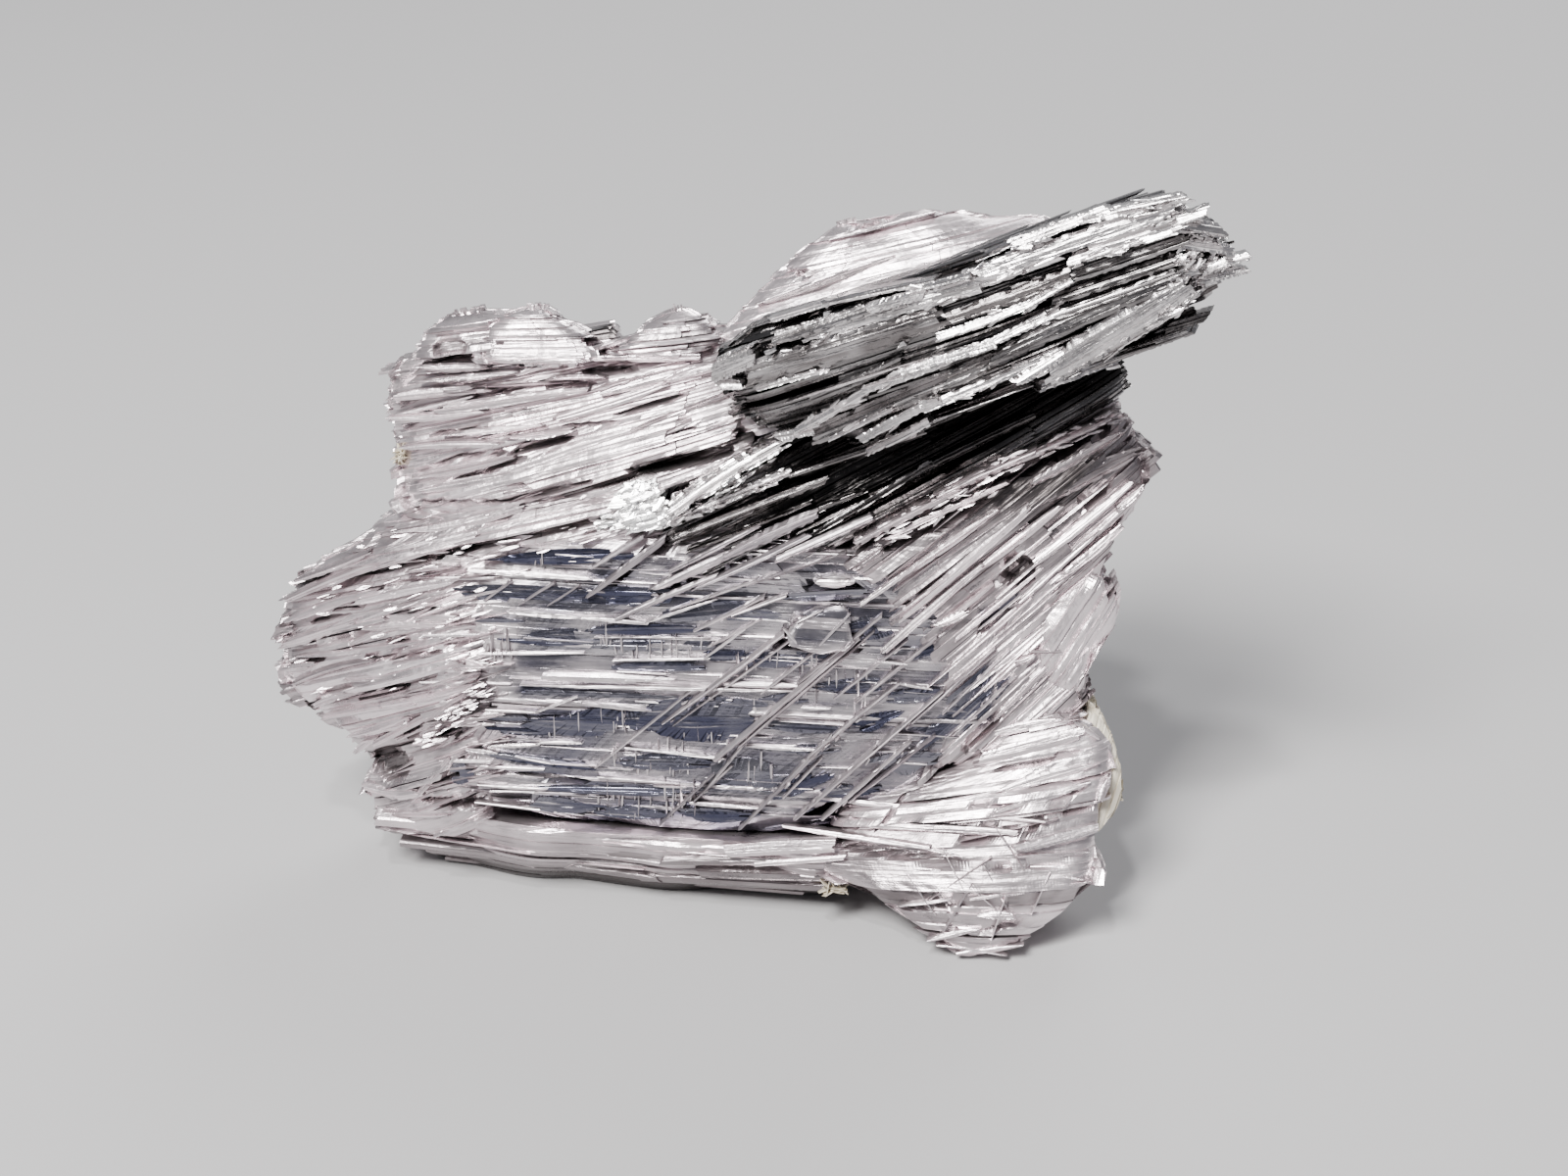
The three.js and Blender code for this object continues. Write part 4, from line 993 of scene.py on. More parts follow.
# --- Top lobe ---
# A thin rounded plate of pale laths that stands up behind the bundle at the top, with one short slot near
# its crest.
lobe_plan = plan([
    (0.3, 15.0), (1.0, 16.2), (2.0, 17.2), (3.0, 18.1), (3.9, 18.65), (4.6, 18.5), (5.4, 18.9),
    (6.4, 19.05), (8.0, 18.8), (9.5, 18.8), (10.4, 18.0), (9.5, 16.0), (5.0, 13.5), (1.0, 13.0)],
    heading=16, front=plate_front, fan=-8, lift=-0.2)
joined("top_lobe", [
    sheaf(lobe_plan, seed=44, laths=20, thick=plate_back, rounding=0.8, ledge=0.03, tilt=3, own_tilt=3,
          groove=0.05, roof=0.12, pale=1.1, stria=0.01, drop=0.06,
          slots=[(2.3, 17.35, 3.2, 17.3, 0.12, 0.4)]),
    strands(scattered(lobe_plan, number=6, seed=45, lift=(-0.05, 0.04), width=(0.3, 0.9), pitch=0.02,
                      tilt=(4, 5)), seed=46, lines=3, stria=0.008, pale=0.9, roof=0.08),
], wing_metal)

# --- Right wing ---
# Laths that run up to the right across the plate and end ragged along its right edge. A chipped ledge lies
# in the bundle's shadow, which is painted dark on it and on the wing's upper edge, and a smooth rounded
# plate low on the edge. The widest laths at a few places are painted dark as a reflection.


def edge_chips(laths, number, seed, length=(0.12, 0.45), width=(0.05, 0.16), tilt=(15, 22),
               proud=(-0.05, 0.1)):
    """Rows for strands: small chips standing along both long edges of the given laths."""
    rng = np.random.default_rng(seed)
    laths = np.asarray(laths, float)
    size = np.linalg.norm(laths[:, 3:5] - laths[:, 0:2], axis=1)
    pick = rng.choice(len(laths), number, p=size / size.sum())
    first, run = laths[pick, 0:3], laths[pick, 3:6] - laths[pick, 0:3]
    along = run / size[pick][:, None]
    across = np.stack([-along[:, 1], along[:, 0], 0 * pick], 1)
    edge = rng.choice([-0.5, 0.5], number) * laths[pick, 6] * rng.uniform(0.75, 1.0, number)
    middle = first + run * rng.uniform(0.02, 0.98, number)[:, None] + across * edge[:, None]
    middle[:, 2] += rng.uniform(*proud, number) - edge * np.sin(np.radians(laths[pick, 7]))
    half = along + across * rng.normal(0, 0.18, number)[:, None]
    half *= rng.uniform(*length, number)[:, None] / 2
    return np.concatenate([middle - half, middle + half, rng.uniform(*width, (number, 1)),
                           rng.normal(*tilt, (number, 1))], 1)


RIGHT_SLOTS = [
    (8.3, 9.5, 8.9, 9.8, 0.7, 0.8), (10.2, 11.35, 11.1, 11.95, 0.16, 0.5),
    (8.4, 12.2, 11.0, 13.6, 0.14, 0.5), (5.0, 10.2, 8.0, 11.9, 0.2, 0.5),
    (8.4, 8.7, 11.6, 11.1, 0.12, 0.4), (6.0, 6.9, 8.4, 8.9, 0.12, 0.4), (7.6, 8.0, 8.4, 8.5, 0.4, 0.3),
    (6.5, 8.1, 9.2, 10.3, 0.12, 0.4), (7.2, 4.6, 8.2, 5.6, 0.3, 0.3), (5.2, 8.4, 8.6, 11.2, 0.1, 0.35),
    (8.6, 7.4, 9.6, 8.0, 0.3, 0.3), (9.9, 6.2, 10.2, 7.4, 0.25, 0.3)]
right_plan = plan([
    (6.4, 4.0), (7.6, 4.1), (9.0, 5.0), (10.5, 5.5), (10.7, 6.3), (10.6, 7.2), (11.2, 8.0), (11.3, 8.5),
    (11.0, 9.4), (11.5, 10.8), (12.0, 11.6), (12.0, 12.4), (11.55, 13.6), (11.0, 14.1), (8.1, 12.7),
    (6.8, 12.1), (4.4, 10.5), (3.7, 9.6), (4.8, 9.0), (5.0, 8.0), (6.0, 7.2), (6.6, 5.6)],
    heading=41, front=plate_front, fan=-8, lift=0.08)
edge_plan = plan([
    (9.3, 6.6), (9.2, 7.9), (9.9, 8.9), (10.7, 9.5), (11.2, 9.2), (11.45, 8.5), (11.3, 7.8),
    (10.75, 7.2), (10.6, 6.3), (10.1, 5.9)], heading=58, front=plate_front, lift=0.22, cant=-6)
RIGHT_BLADES = [
    (4.3, 8.7, 5.75, 9.77, 0.35, 0.2, 28), (5.7, 9.7, 8.0, 11.4, 0.25, 0.3, 16),
    (4.9, 7.35, 7.6, 9.85, 0.3, 0.28, 26), (5.4, 8.3, 8.8, 11.4, 0.2, 0.35, 14),
    (6.4, 8.15, 7.2, 8.55, 0.35, 0.35, 24), (7.4, 9.6, 9.6, 11.4, 0.2, 0.4, 14),
    (8.6, 8.75, 11.9, 11.8, 0.25, 0.35, 18), (9.0, 9.9, 11.6, 12.0, 0.2, 0.4, 14),
    (9.6, 9.3, 11.4, 10.8, 0.2, 0.35, 12), (6.9, 7.7, 9.2, 9.7, 0.2, 0.2, 20),
    (6.2, 6.4, 9.0, 8.95, 0.22, 0.25, 18), (8.6, 7.1, 9.1, 7.3, 0.3, 0.35, 28),
    (9.0, 7.35, 9.8, 7.35, 0.3, 0.14, 28), (7.6, 6.6, 9.4, 8.1, 0.15, 0.3, 10),
    (8.0, 5.4, 9.8, 7.2, 0.15, 0.4, 8), (8.8, 5.2, 10.4, 6.6, 0.15, 0.5, 10),
    (11.3, 11.4, 11.9, 11.9, 0.25, 0.35, 26)]
# Blades and a ledge in the bundle's shadow, painted darker as that shade.
SHADED_BLADES = [(9.2, 11.6, 11.8, 12.9, 0.15, 0.7, 4), (8.9, 12.1, 11.3, 13.4, 0.15, 0.4, 10)]
RIGHT_LEDGE = [
    (4.2, 10.45, 7.0, 12.0, 0.5, 0.34, 18), (6.3, 11.75, 8.9, 13.0, 0.52, 0.36, 20),
    (8.3, 12.65, 11.2, 13.95, 0.42, 0.34, 14), (5.0, 10.55, 8.2, 12.15, 0.42, 0.22, 16)]
# Places where the wing's widest laths are painted dark as a reflection of dark surroundings.
RIGHT_FACETS = [(6.2, 8.0, 4.6, 6.4, 0.4), (7.6, 8.6, 8.0, 8.5, 0.5), (3.5, 6.0, 4.5, 6.0, 0.7)]


def upper_shadow(x, s):
    """Share of painted shadow from the bundle along the wing's upper edge, which fades out to its right end.
    """
    return 0.95 * np.clip((s - 0.2 * x - 8.3) / 1.8, 0, 1) * np.clip((11.7 - x) / 1.6, 0.2, 1)


joined("right_wing", [
    sheaf(right_plan, seed=51, laths=48, thick=plate_back, ledge=0.07, tilt=6, own_tilt=6, mirrors=0.35,
          groove=0.3, rounding=0.5, ragged=0.15, slots=RIGHT_SLOTS, roof=0.2,
          pale=lambda x, s: 0.12 + 0.35 * ripple(x, s, seed=57, size=2.5), soiled=upper_shadow,
          mirror_at=lambda x, s: inside(x, s, RIGHT_FACETS)),
    sheaf(edge_plan, seed=53, laths=9, stations=36, thick=2.2, rounding=0.5, ledge=0.03, tilt=4,
          own_tilt=4, groove=0.05, roof=0.15, ragged=0.06, pale=0.9, drop=0.04),
    strands(laid(plate_front, RIGHT_BLADES), seed=52, lines=5, stations=36, depth=0.5, stria=0.02,
            roof=0.12, chip=0.2, taper=(0.3, 0.8), pale=0.65),
    strands(laid(plate_front, SHADED_BLADES), seed=56, lines=5, stations=36, depth=0.5, stria=0.02,
            roof=0.12, chip=0.2, taper=(0.3, 0.8), pale=0.35, hidden=0.35),
    strands(laid(plate_front, RIGHT_LEDGE), seed=49, lines=6, stations=44, depth=0.9, stria=0.02,
            roof=0.15, chip=0.4, taper=(0.3, 0.8), pale=0.45, hidden=0.12, ragged=0.2, slant=1.0),
    strands(edge_chips(laid(plate_front, RIGHT_LEDGE), number=60, seed=45, length=(0.12, 0.6),
                       width=(0.04, 0.14), tilt=(24, 6)), seed=46, lines=1, stations=10, depth=0.3,
            stria=0.004, roof=0.05, pale=0.9, chip=0.2),
    lath_tips(edge_plan, lambda x, s: plate_front(x, s) - 1.9, number=30, seed=47, depth=0.2, pale=0.7),
    lath_tips(right_plan, plate_back, number=150, seed=58, width=(0.15, 0.45), pale=0.6),
    strands(scattered(right_plan, number=26, seed=54, length=(1.5, 5), width=(0.05, 0.22),
                      lift=(0.03, 0.14), turn=2, pitch=0.03, tilt=(12, 10)), seed=55, lines=2,
            roof=0.15, ragged=0.1, pale=0.6, chip=0.15),
], wing_metal)

# --- Crossing ridges ---
# Long thin laths that cross the middle face at a slant, from its foot up to the right wing, with small
# chips along their edges, and greyer blades above them that lead to the bundle.
RIDGES = [
    (-3.05, 3.8, -0.3, 6.15, 0.28, 0.09, 14), (-1.15, 5.15, 2.25, 7.85, 0.32, 0.24, 16),
    (-0.85, 5.1, 2.5, 7.7, 0.26, 0.08, 16), (-1.25, 2.2, 0.3, 3.75, 0.28, 0.1, 14),
    (0.0, 3.2, 1.1, 4.6, 0.28, 0.1, 14), (0.3, 4.15, 4.3, 7.75, 0.34, 0.2, 18),
    (0.95, 4.5, 4.7, 7.95, 0.3, 0.12, 14), (-0.3, 2.9, 0.8, 4.0, 0.26, 0.12, 14),
    (1.0, 2.15, 3.2, 4.6, 0.28, 0.12, 14), (2.0, 3.2, 3.6, 4.95, 0.28, 0.12, 16),
    (2.9, 4.3, 5.4, 6.5, 0.32, 0.18, 20), (2.55, 2.5, 6.6, 6.3, 0.34, 0.18, 18),
    (3.3, 2.5, 5.7, 4.8, 0.3, 0.14, 14), (2.2, 3.1, 3.3, 4.3, 0.26, 0.08, 14),
    (4.0, 3.0, 6.4, 5.0, 0.26, 0.14, 12), (5.6, 5.2, 8.0, 7.5, 0.3, 0.14, 16),
    (4.2, 5.9, 6.4, 7.8, 0.28, 0.14, 16), (3.6, 6.0, 5.6, 7.7, 0.26, 0.12, 16),
    (1.6, 6.1, 3.4, 7.6, 0.26, 0.1, 14), (2.6, 6.4, 4.9, 8.4, 0.28, 0.14, 14),
    (-0.25, 7.82, 1.7, 8.85, 0.28, 0.14, 14), (-0.9, 8.4, 1.5, 9.3, 0.28, 0.09, 16),
    (1.2, 9.15, 3.9, 10.1, 0.32, 0.08, 16), (0.8, 8.3, 2.3, 8.9, 0.3, 0.14, 12),
    (-6.1, 8.45, -5.3, 9.05, 0.16, 0.1, 10), (-5.1, 8.4, -4.1, 9.05, 0.18, 0.1, 10),
    (5.2, 7.6, 6.4, 8.6, 0.3, 0.14, 20), (-4.3, 8.4, -3.4, 9.0, 0.16, 0.07, 10),
    (0.2, 7.4, 1.6, 8.2, 0.24, 0.08, 12), (6.6, 5.6, 8.4, 7.4, 0.2, 0.12, 14),
    (6.9, 5.0, 8.6, 6.7, 0.2, 0.12, 10)]
UPPER_RIDGES = [
    (-3.2, 8.7, -1.0, 10.4, 0.3, 0.26, 12), (-3.0, 9.55, -1.6, 10.45, 0.32, 0.18, 14),
    (-2.4, 8.1, 0.4, 9.4, 0.26, 0.26, 14), (-1.3, 9.0, 1.2, 10.25, 0.36, 0.42, 10),
    (-0.9, 9.5, 1.6, 10.85, 0.38, 0.2, 16), (0.6, 9.95, 3.1, 11.15, 0.4, 0.5, 10),
    (-0.2, 9.05, 2.9, 10.6, 0.32, 0.24, 16), (2.0, 9.9, 4.6, 11.1, 0.36, 0.3, 14)]
joined("crossing_ridges", [
    strands(laid(plate_front, UPPER_RIDGES), seed=65, lines=5, stations=40, depth=0.7, stria=0.015,
            roof=0.25, chip=0.2, taper=(0.3, 0.7), pale=0.35, spread=0.15, ragged=0.2, slant=1.0,
            hidden=0.15),
    strands(laid(plate_front, RIDGES, wider=1.1, steeper=8), seed=61, lines=3, stations=48, depth=0.6,
            stria=0.008, roof=0.4, chip=0.15, taper=(0.3, 0.8), pale=0.6, spread=0.2, ragged=0.1),
    strands(edge_chips(laid(plate_front, RIDGES), number=60, seed=63, length=(0.06, 0.2),
                       width=(0.03, 0.08)), seed=64, lines=1, stations=4, depth=0.15, chip=0.3,
            pale=0.95, taper=(0.2, 0.9)),
], face_metal)

# --- Foot rod ---
# A long rounded lath of several parallel ones that runs along the foot. Its upper ledges are bright, and the
# laths under them lie in their shadow, painted dark as that shadow, and the rod is painted darker towards
# the foot.
rod_front = relief([
    (-9.5, 1.6, -1.3), (-9, 2.1, -1.0), (-6, 2.0, 0.2), (-2, 1.6, 0.8), (2, 1.6, 1.3), (4, 1.8, 1.6),
    (-8.5, 0.6, -1.8), (-5, 0.6, -0.3), (-1, 0.5, 0.4), (3, 0.4, 1.1), (-7.7, 0, -2.3),
    (-4, -0.3, -1.4), (0, -0.4, -0.8), (3, -0.2, 0.0)])
rod_plan = plan([
    (-9.7, 1.8), (-9.0, 2.1), (-6.1, 2.1), (-4.0, 1.95), (-1.7, 1.75), (1.0, 1.75), (3.4, 1.9),
    (4.3, 1.2), (3.8, 0.0), (2.6, -0.4), (-1.7, -0.6), (-5.5, -0.4), (-7.7, 0.1), (-8.6, 0.6),
    (-9.5, 1.2)], heading=-2, front=rod_front)
ROD_LEDGES = [
    (-9.5, 1.75, 1.3, 1.6, 0.3, 0.55, 18), (0.6, 1.55, 3.6, 1.9, 0.38, 0.5, 22),
    (1.4, 1.15, 3.9, 1.55, 0.42, 0.22, 24)]
ROD_LATHS = [
    (-9.3, 1.3, -0.6, 1.15, 0.12, 0.5, -16), (-1.2, 1.1, 3.9, 1.3, 0.22, 0.4, -10),
    (-8.9, 0.85, 0.4, 0.7, 0.22, 0.4, 8), (-0.2, 0.7, 3.7, 0.85, 0.28, 0.4, 10),
    (-8.2, 0.5, -1.4, 0.3, 0.12, 0.35, -18), (-2.0, 0.3, 3.4, 0.35, 0.16, 0.4, -12),
    (-7.7, 0.15, 2.8, -0.1, 0.12, 0.3, -26)]
joined("foot_rod", [
    # The sheaf is painted darker towards the foot, as the shadow under the ledges.
    sheaf(rod_plan, seed=71, laths=13, thick=lambda x, s: plate_back(x, s) - 0.1, ledge=0.06,
          stations=72, rounding=0.25, groove=0.2, tilt=8, own_tilt=5, breaks=0.2, stria=0.01, roof=0.25,
          soiled=lambda x, s: np.clip((1.0 - s) / 1.0, 0, 0.9)),
    strands(laid(rod_front, ROD_LEDGES), seed=72, lines=4, stations=80, depth=0.6, roof=0.35,
            stria=0.008, chip=0.06, ragged=0.1, taper=(0.0, 0.2), pale=0.95, bow=0.08, spread=0.05),
    strands(laid(rod_front, ROD_LATHS), seed=75, lines=4, stations=80, depth=0.6, roof=0.35,
            stria=0.008, chip=0.06, ragged=0.1, taper=(0.0, 0.2), pale=0.1, bow=0.08, spread=0.2,
            hidden=0.5),
    strands(scattered(rod_plan, number=5, seed=74, length=(2, 6), width=(0.06, 0.16), lift=(0.05, 0.14),
                      turn=1, pitch=0.04, area=(0.4, 0.97)), seed=73, stations=36, ragged=0.1, lines=3),
], wing_metal)

# --- Foot fan ---
# A rounded fan of broad smooth folds that spreads to the right at the foot, and on which the specimen
# stands there. The folds turn from grey to bright, and fine pale hairs lie along them.
fan_front = relief([
    (3, 1.4, 1.5), (4.2, 3, 1.5), (7.5, 4.2, 1.7), (9.3, 5.7, 1.6), (11, 5, 1.9), (11.4, 3, 2.3),
    (6, 2.2, 2.3), (9, 2.5, 2.8), (10.6, 1.1, 3.0), (8, 1, 3.1), (7, -0.9, 3.0), (9.5, 0, 3.1),
    (4.5, 0.8, 2.2)])
FAN_SLOTS = [
    (8.0, 4.05, 9.6, 4.35, 0.12, 0.35), (7.0, 3.15, 9.3, 3.22, 0.1, 0.3),
    (9.2, 3.2, 10.5, 3.62, 0.1, 0.3), (9.9, 3.0, 10.9, 3.08, 0.16, 0.45),
    (7.0, 2.3, 8.7, 2.32, 0.14, 0.3), (8.7, 2.35, 9.4, 2.9, 0.14, 0.3),
    (8.9, 1.62, 10.3, 1.78, 0.14, 0.3), (2.6, 1.85, 8.4, 1.55, 0.2, 0.4),
    (3.2, 2.55, 9.0, 2.6, 0.08, 0.2), (9.7, 4.5, 10.6, 4.6, 0.1, 0.25), (7.0, 0.5, 9.8, 0.85, 0.1, 0.2),
    (5.2, 0.15, 7.0, 0.5, 0.08, 0.2), (7.0, -0.35, 9.2, 0.1, 0.1, 0.25), (4.8, 2.3, 5.6, 3.3, 0.1, 0.3)]
fan_plan = plan([
    (2.8, 1.4), (3.4, 2.1), (4.2, 3.0), (6.0, 3.6), (7.5, 4.3), (8.3, 5.3), (9.3, 5.7), (10.3, 5.6),
    (11.1, 5.1), (11.3, 4.0), (11.3, 3.1), (10.9, 2.3), (10.7, 1.4), (10.1, 0.35), (9.0, -0.55),
    (7.5, -1.1), (6.7, -0.9), (5.5, -0.15), (4.4, 0.6), (3.2, 1.0)],
    heading=6, front=fan_front, fan=18, root=(5, 1.6), lift=-0.05)
FAN_BLADES = [
    (2.2, 2.2, 6.2, 2.02, 0.3, 0.2, 24), (5.6, 2.06, 10.4, 1.3, 0.32, 0.14, 24),
    (3.2, 3.05, 9.4, 2.82, 0.22, 0.22, 20), (7.8, 2.95, 10.6, 3.8, 0.28, 0.22, 22),
    (8.6, 2.15, 10.85, 2.65, 0.35, 0.4, 28), (8.6, 1.95, 10.6, 2.02, 0.32, 0.12, 26),
    (7.3, 0.75, 10.6, 1.25, 0.3, 0.22, 26), (5.4, 0.35, 6.8, 0.68, 0.22, 0.12, 24),
    (6.2, -0.55, 7.6, -0.12, 0.22, 0.25, 26), (7.6, 0.25, 8.5, 0.3, 0.25, 0.4, 26),
    (10.2, 5.4, 10.9, 4.95, 0.2, 0.2, 20), (10.9, 3.3, 11.15, 3.95, 0.25, 0.3, 10),
    (7.6, 4.3, 10.4, 5.1, 0.2, 0.6, 8), (8.2, 3.55, 10.8, 4.3, 0.2, 0.5, 10),
    (4.6, 2.4, 8.6, 2.5, 0.15, 0.3, 10), (8.0, 5.0, 9.8, 5.45, 0.15, 0.4, 8),
    (6.0, 1.2, 9.8, 1.6, 0.15, 0.4, 8), (7.0, -0.9, 8.8, -0.6, 0.15, 0.25, 0)]
FAN_HAIRS = [
    (6.6, -0.3, 7.4, 1.2, 0.1, 0.06, 10), (7.2, 0.9, 6.6, 2.0, 0.1, 0.05, -10),
    (7.9, -0.5, 8.3, 0.9, 0.1, 0.05, 10), (8.5, 0.2, 7.7, 1.7, 0.1, 0.06, -10),
    (6.9, 1.4, 8.0, 0.5, 0.1, 0.05, 10), (5.6, 1.3, 6.4, 0.2, 0.1, 0.05, 10),
    (9.0, 0.3, 9.5, 1.5, 0.1, 0.05, 10), (8.8, 1.6, 8.0, 2.7, 0.1, 0.05, -10),
    (6.2, 0.6, 7.9, 1.9, 0.1, 0.05, 10)]


def fan_tone(x, s):
    """Paleness of the fan: grey folds that turn bright to the right, in soft patches."""
    return 0.15 + 0.9 * np.clip((x - 7.5) / 3, 0, 1) + 0.25 * ripple(x, s, seed=80, size=2.0)


joined("foot_fan", [
    sheaf(fan_plan, seed=81, laths=24, stations=96, thick=plate_back, ledge=0.1, groove=0.2, tilt=9,
          own_tilt=5, drop=0.1, rounding=0.6, roof=0.1, pale=fan_tone, slots=FAN_SLOTS, ragged=0.05,
          stria=0.006),
    strands(laid(fan_front, FAN_BLADES, lower=0.16), seed=82, lines=4, stations=40, depth=0.5,
            stria=0.008, roof=0.1, chip=0.1, taper=(0.4, 0.9), pale=0.85, ragged=0.15),
    lath_tips(fan_plan, plate_back, number=130, seed=76, width=(0.12, 0.4), pale=0.8),
    strands(laid(fan_front, FAN_HAIRS), seed=83, lines=1, stations=24, depth=0.3, pale=1.0, chip=0.1,
            spread=0.05),
    strands(scattered(fan_plan, number=6, seed=84, length=(1.5, 5), width=(0.05, 0.2), lift=(0.0, 0.06),
                      turn=3, pitch=0.02), seed=85, lines=2, ragged=0.1, pale=0.75, chip=0.1),
], wing_metal)

# --- Cream crust ---
# A thin cream-coloured rind of later growth behind the fan's right edge, with specks of it at the rod's
# right end and on the left edge of the upper-left wing.
crust_plan = plan([
    (10.6, 5.55), (11.2, 5.1), (11.6, 4.2), (11.65, 3.4), (11.4, 2.7), (10.9, 2.1), (10.4, 2.4),
    (10.4, 4.0)], heading=70, front=fan_front, lift=-0.55)
SPECKS = [
    ((3.65, 0.5, 1.5), (0.28, 0.12, 0.15), 16, 87, (0.06, 0.14), (10, 50)),
    ((-8.55, 12.2, -1.75), (0.15, 0.25, 0.2), 14, 89, (0.06, 0.16), (60, 50))]
joined("cream_crust", [
    sheaf(crust_plan, seed=86, laths=9, stations=30, thick=1.2, rounding=0.3, ledge=0.04, own_tilt=5,
          roof=0.2, ragged=0.05, pale=0.8),
    *(strands(clump(middle, radii, number=number, seed=seed, width=width, heading=heading),
              seed=seed + 1, lines=2, stations=5, depth=0.3, chip=0.3, taper=(0.3, 0.9))
      for middle, radii, number, seed, width, heading in SPECKS),
], striated_metal("cream_rind", pale=(0.78, 0.72, 0.6), grey=(0.6, 0.53, 0.4), hollow=(0.3, 0.24, 0.16),
                  metal=0.1, rough=(0.5, 0.7)))

# --- Raised bundle ---
# A thick bundle of straight, splintered laths that stands out from the plate and points up to the right,
# with a crumbling tip. Its laths are clean metal, bright where they face up, partly by painted light, and
# painted black as shade in the gaps and on its lower flank.
# Its near-black colour is painted shade.
bundle_metal = striated_metal("bundle_metal", pale=(0.86, 0.825, 0.83), grey=(0.19, 0.175, 0.175),
                              hollow=(0.01, 0.009, 0.009), rough=(0.16, 0.34), metal=1.0, contrast=0.45,
                              across=7.0, lines=0.00005)
bundle_front = relief([
    (1.7, 15.4, 3.5), (7, 17.2, 5.0), (12, 19.8, 5.9), (13.5, 18.3, 5.2), (4.2, 13.6, 3.2),
    (8.2, 15.3, 4.3), (12.3, 17.0, 4.6), (10.9, 15.6, 3.6), (2, 13.8, 2.6), (1.9, 16.6, 3.5),
    (5.4, 17.6, 4.6), (8, 18.8, 5.4)])
bundle_plan = plan([
    (0.7, 14.9), (0.7, 15.6), (1.3, 16.2), (2.0, 16.6), (3.9, 17.1), (5.4, 17.55), (6.6, 18.0),
    (8.0, 18.7), (9.6, 19.4), (11.0, 19.8), (12.0, 19.8), (12.5, 19.4), (13.0, 19.0), (13.4, 18.5),
    (13.4, 18.0), (13.0, 17.3), (12.4, 16.6), (11.6, 16.0), (10.5, 15.4), (9.0, 15.2), (8.3, 14.9),
    (6.5, 14.2), (5.0, 13.5), (4.2, 13.3), (3.4, 13.6), (2.1, 13.4), (1.4, 14.0)],
    heading=21, front=bundle_front, fan=-4)
BUNDLE_LATHS = [
    (1.95, 16.25, 4.3, 17.1, 0.55, 0.42, 26), (4.2, 17.05, 5.8, 17.6, 0.5, 0.35, 22),
    (1.9, 16.72, 3.6, 17.3, 0.35, 0.2, 30), (3.2, 17.2, 6.0, 17.9, 0.4, 0.2, 26),
    (2.7, 16.35, 7.1, 17.85, 0.45, 0.5, 10), (1.3, 15.3, 6.2, 16.95, 0.4, 0.85, -2),
    (0.4, 15.35, 1.4, 15.8, 0.5, 0.7, 12), (0.5, 15.0, 1.1, 15.0, 0.4, 0.35, 24),
    (1.5, 14.9, 3.4, 15.5, 0.45, 0.2, 28), (5.45, 17.65, 6.9, 18.1, 0.55, 0.22, 32),
    (5.6, 17.35, 9.0, 18.6, 0.5, 0.4, 16), (7.0, 18.05, 11.8, 19.8, 0.5, 0.5, 14),
    (7.9, 18.85, 10.2, 19.75, 0.45, 0.3, 24), (9.6, 19.5, 12.0, 20.05, 0.5, 0.35, 26),
    (10.4, 19.75, 12.0, 20.1, 0.6, 0.18, 36), (6.1, 16.45, 8.4, 17.35, 0.6, 0.28, 26),
    (6.3, 16.9, 9.4, 18.1, 0.5, 0.45, 8), (8.3, 17.3, 9.4, 17.95, 0.6, 0.25, 28),
    (9.3, 18.45, 12.0, 19.35, 0.55, 0.4, 22), (9.8, 18.8, 12.6, 19.7, 0.5, 0.35, 20),
    (4.2, 14.95, 6.2, 15.75, 0.55, 0.3, 26), (5.2, 15.5, 7.5, 16.3, 0.55, 0.35, 24),
    (7.2, 16.2, 9.2, 17.15, 0.5, 0.3, 16), (2.0, 13.5, 3.0, 13.75, 0.4, 0.3, 26),
    (2.5, 13.7, 4.4, 14.95, 0.5, 0.3, 24), (11.4, 17.9, 13.8, 18.55, 0.45, 0.3, 20),
    (4.2, 13.55, 6.2, 14.75, 0.55, 0.28, 26), (5.8, 14.5, 9.2, 16.05, 0.55, 0.3, 20),
    (4.4, 13.2, 6.0, 14.15, 0.45, 0.28, 28), (3.4, 13.5, 5.0, 14.45, 0.4, 0.14, 26),
    (8.15, 15.25, 9.3, 16.0, 0.65, 0.4, 14), (8.9, 15.5, 12.4, 17.85, 0.65, 0.9, 8),
    (8.8, 15.1, 10.8, 15.8, 0.5, 0.35, 20), (10.4, 15.9, 12.3, 17.3, 0.55, 0.3, 26),
    (11.9, 19.4, 13.1, 19.2, 0.4, 0.4, 24), (12.1, 18.9, 13.4, 18.7, 0.4, 0.35, 22),
    (12.5, 17.9, 13.8, 18.2, 0.35, 0.3, 16)]
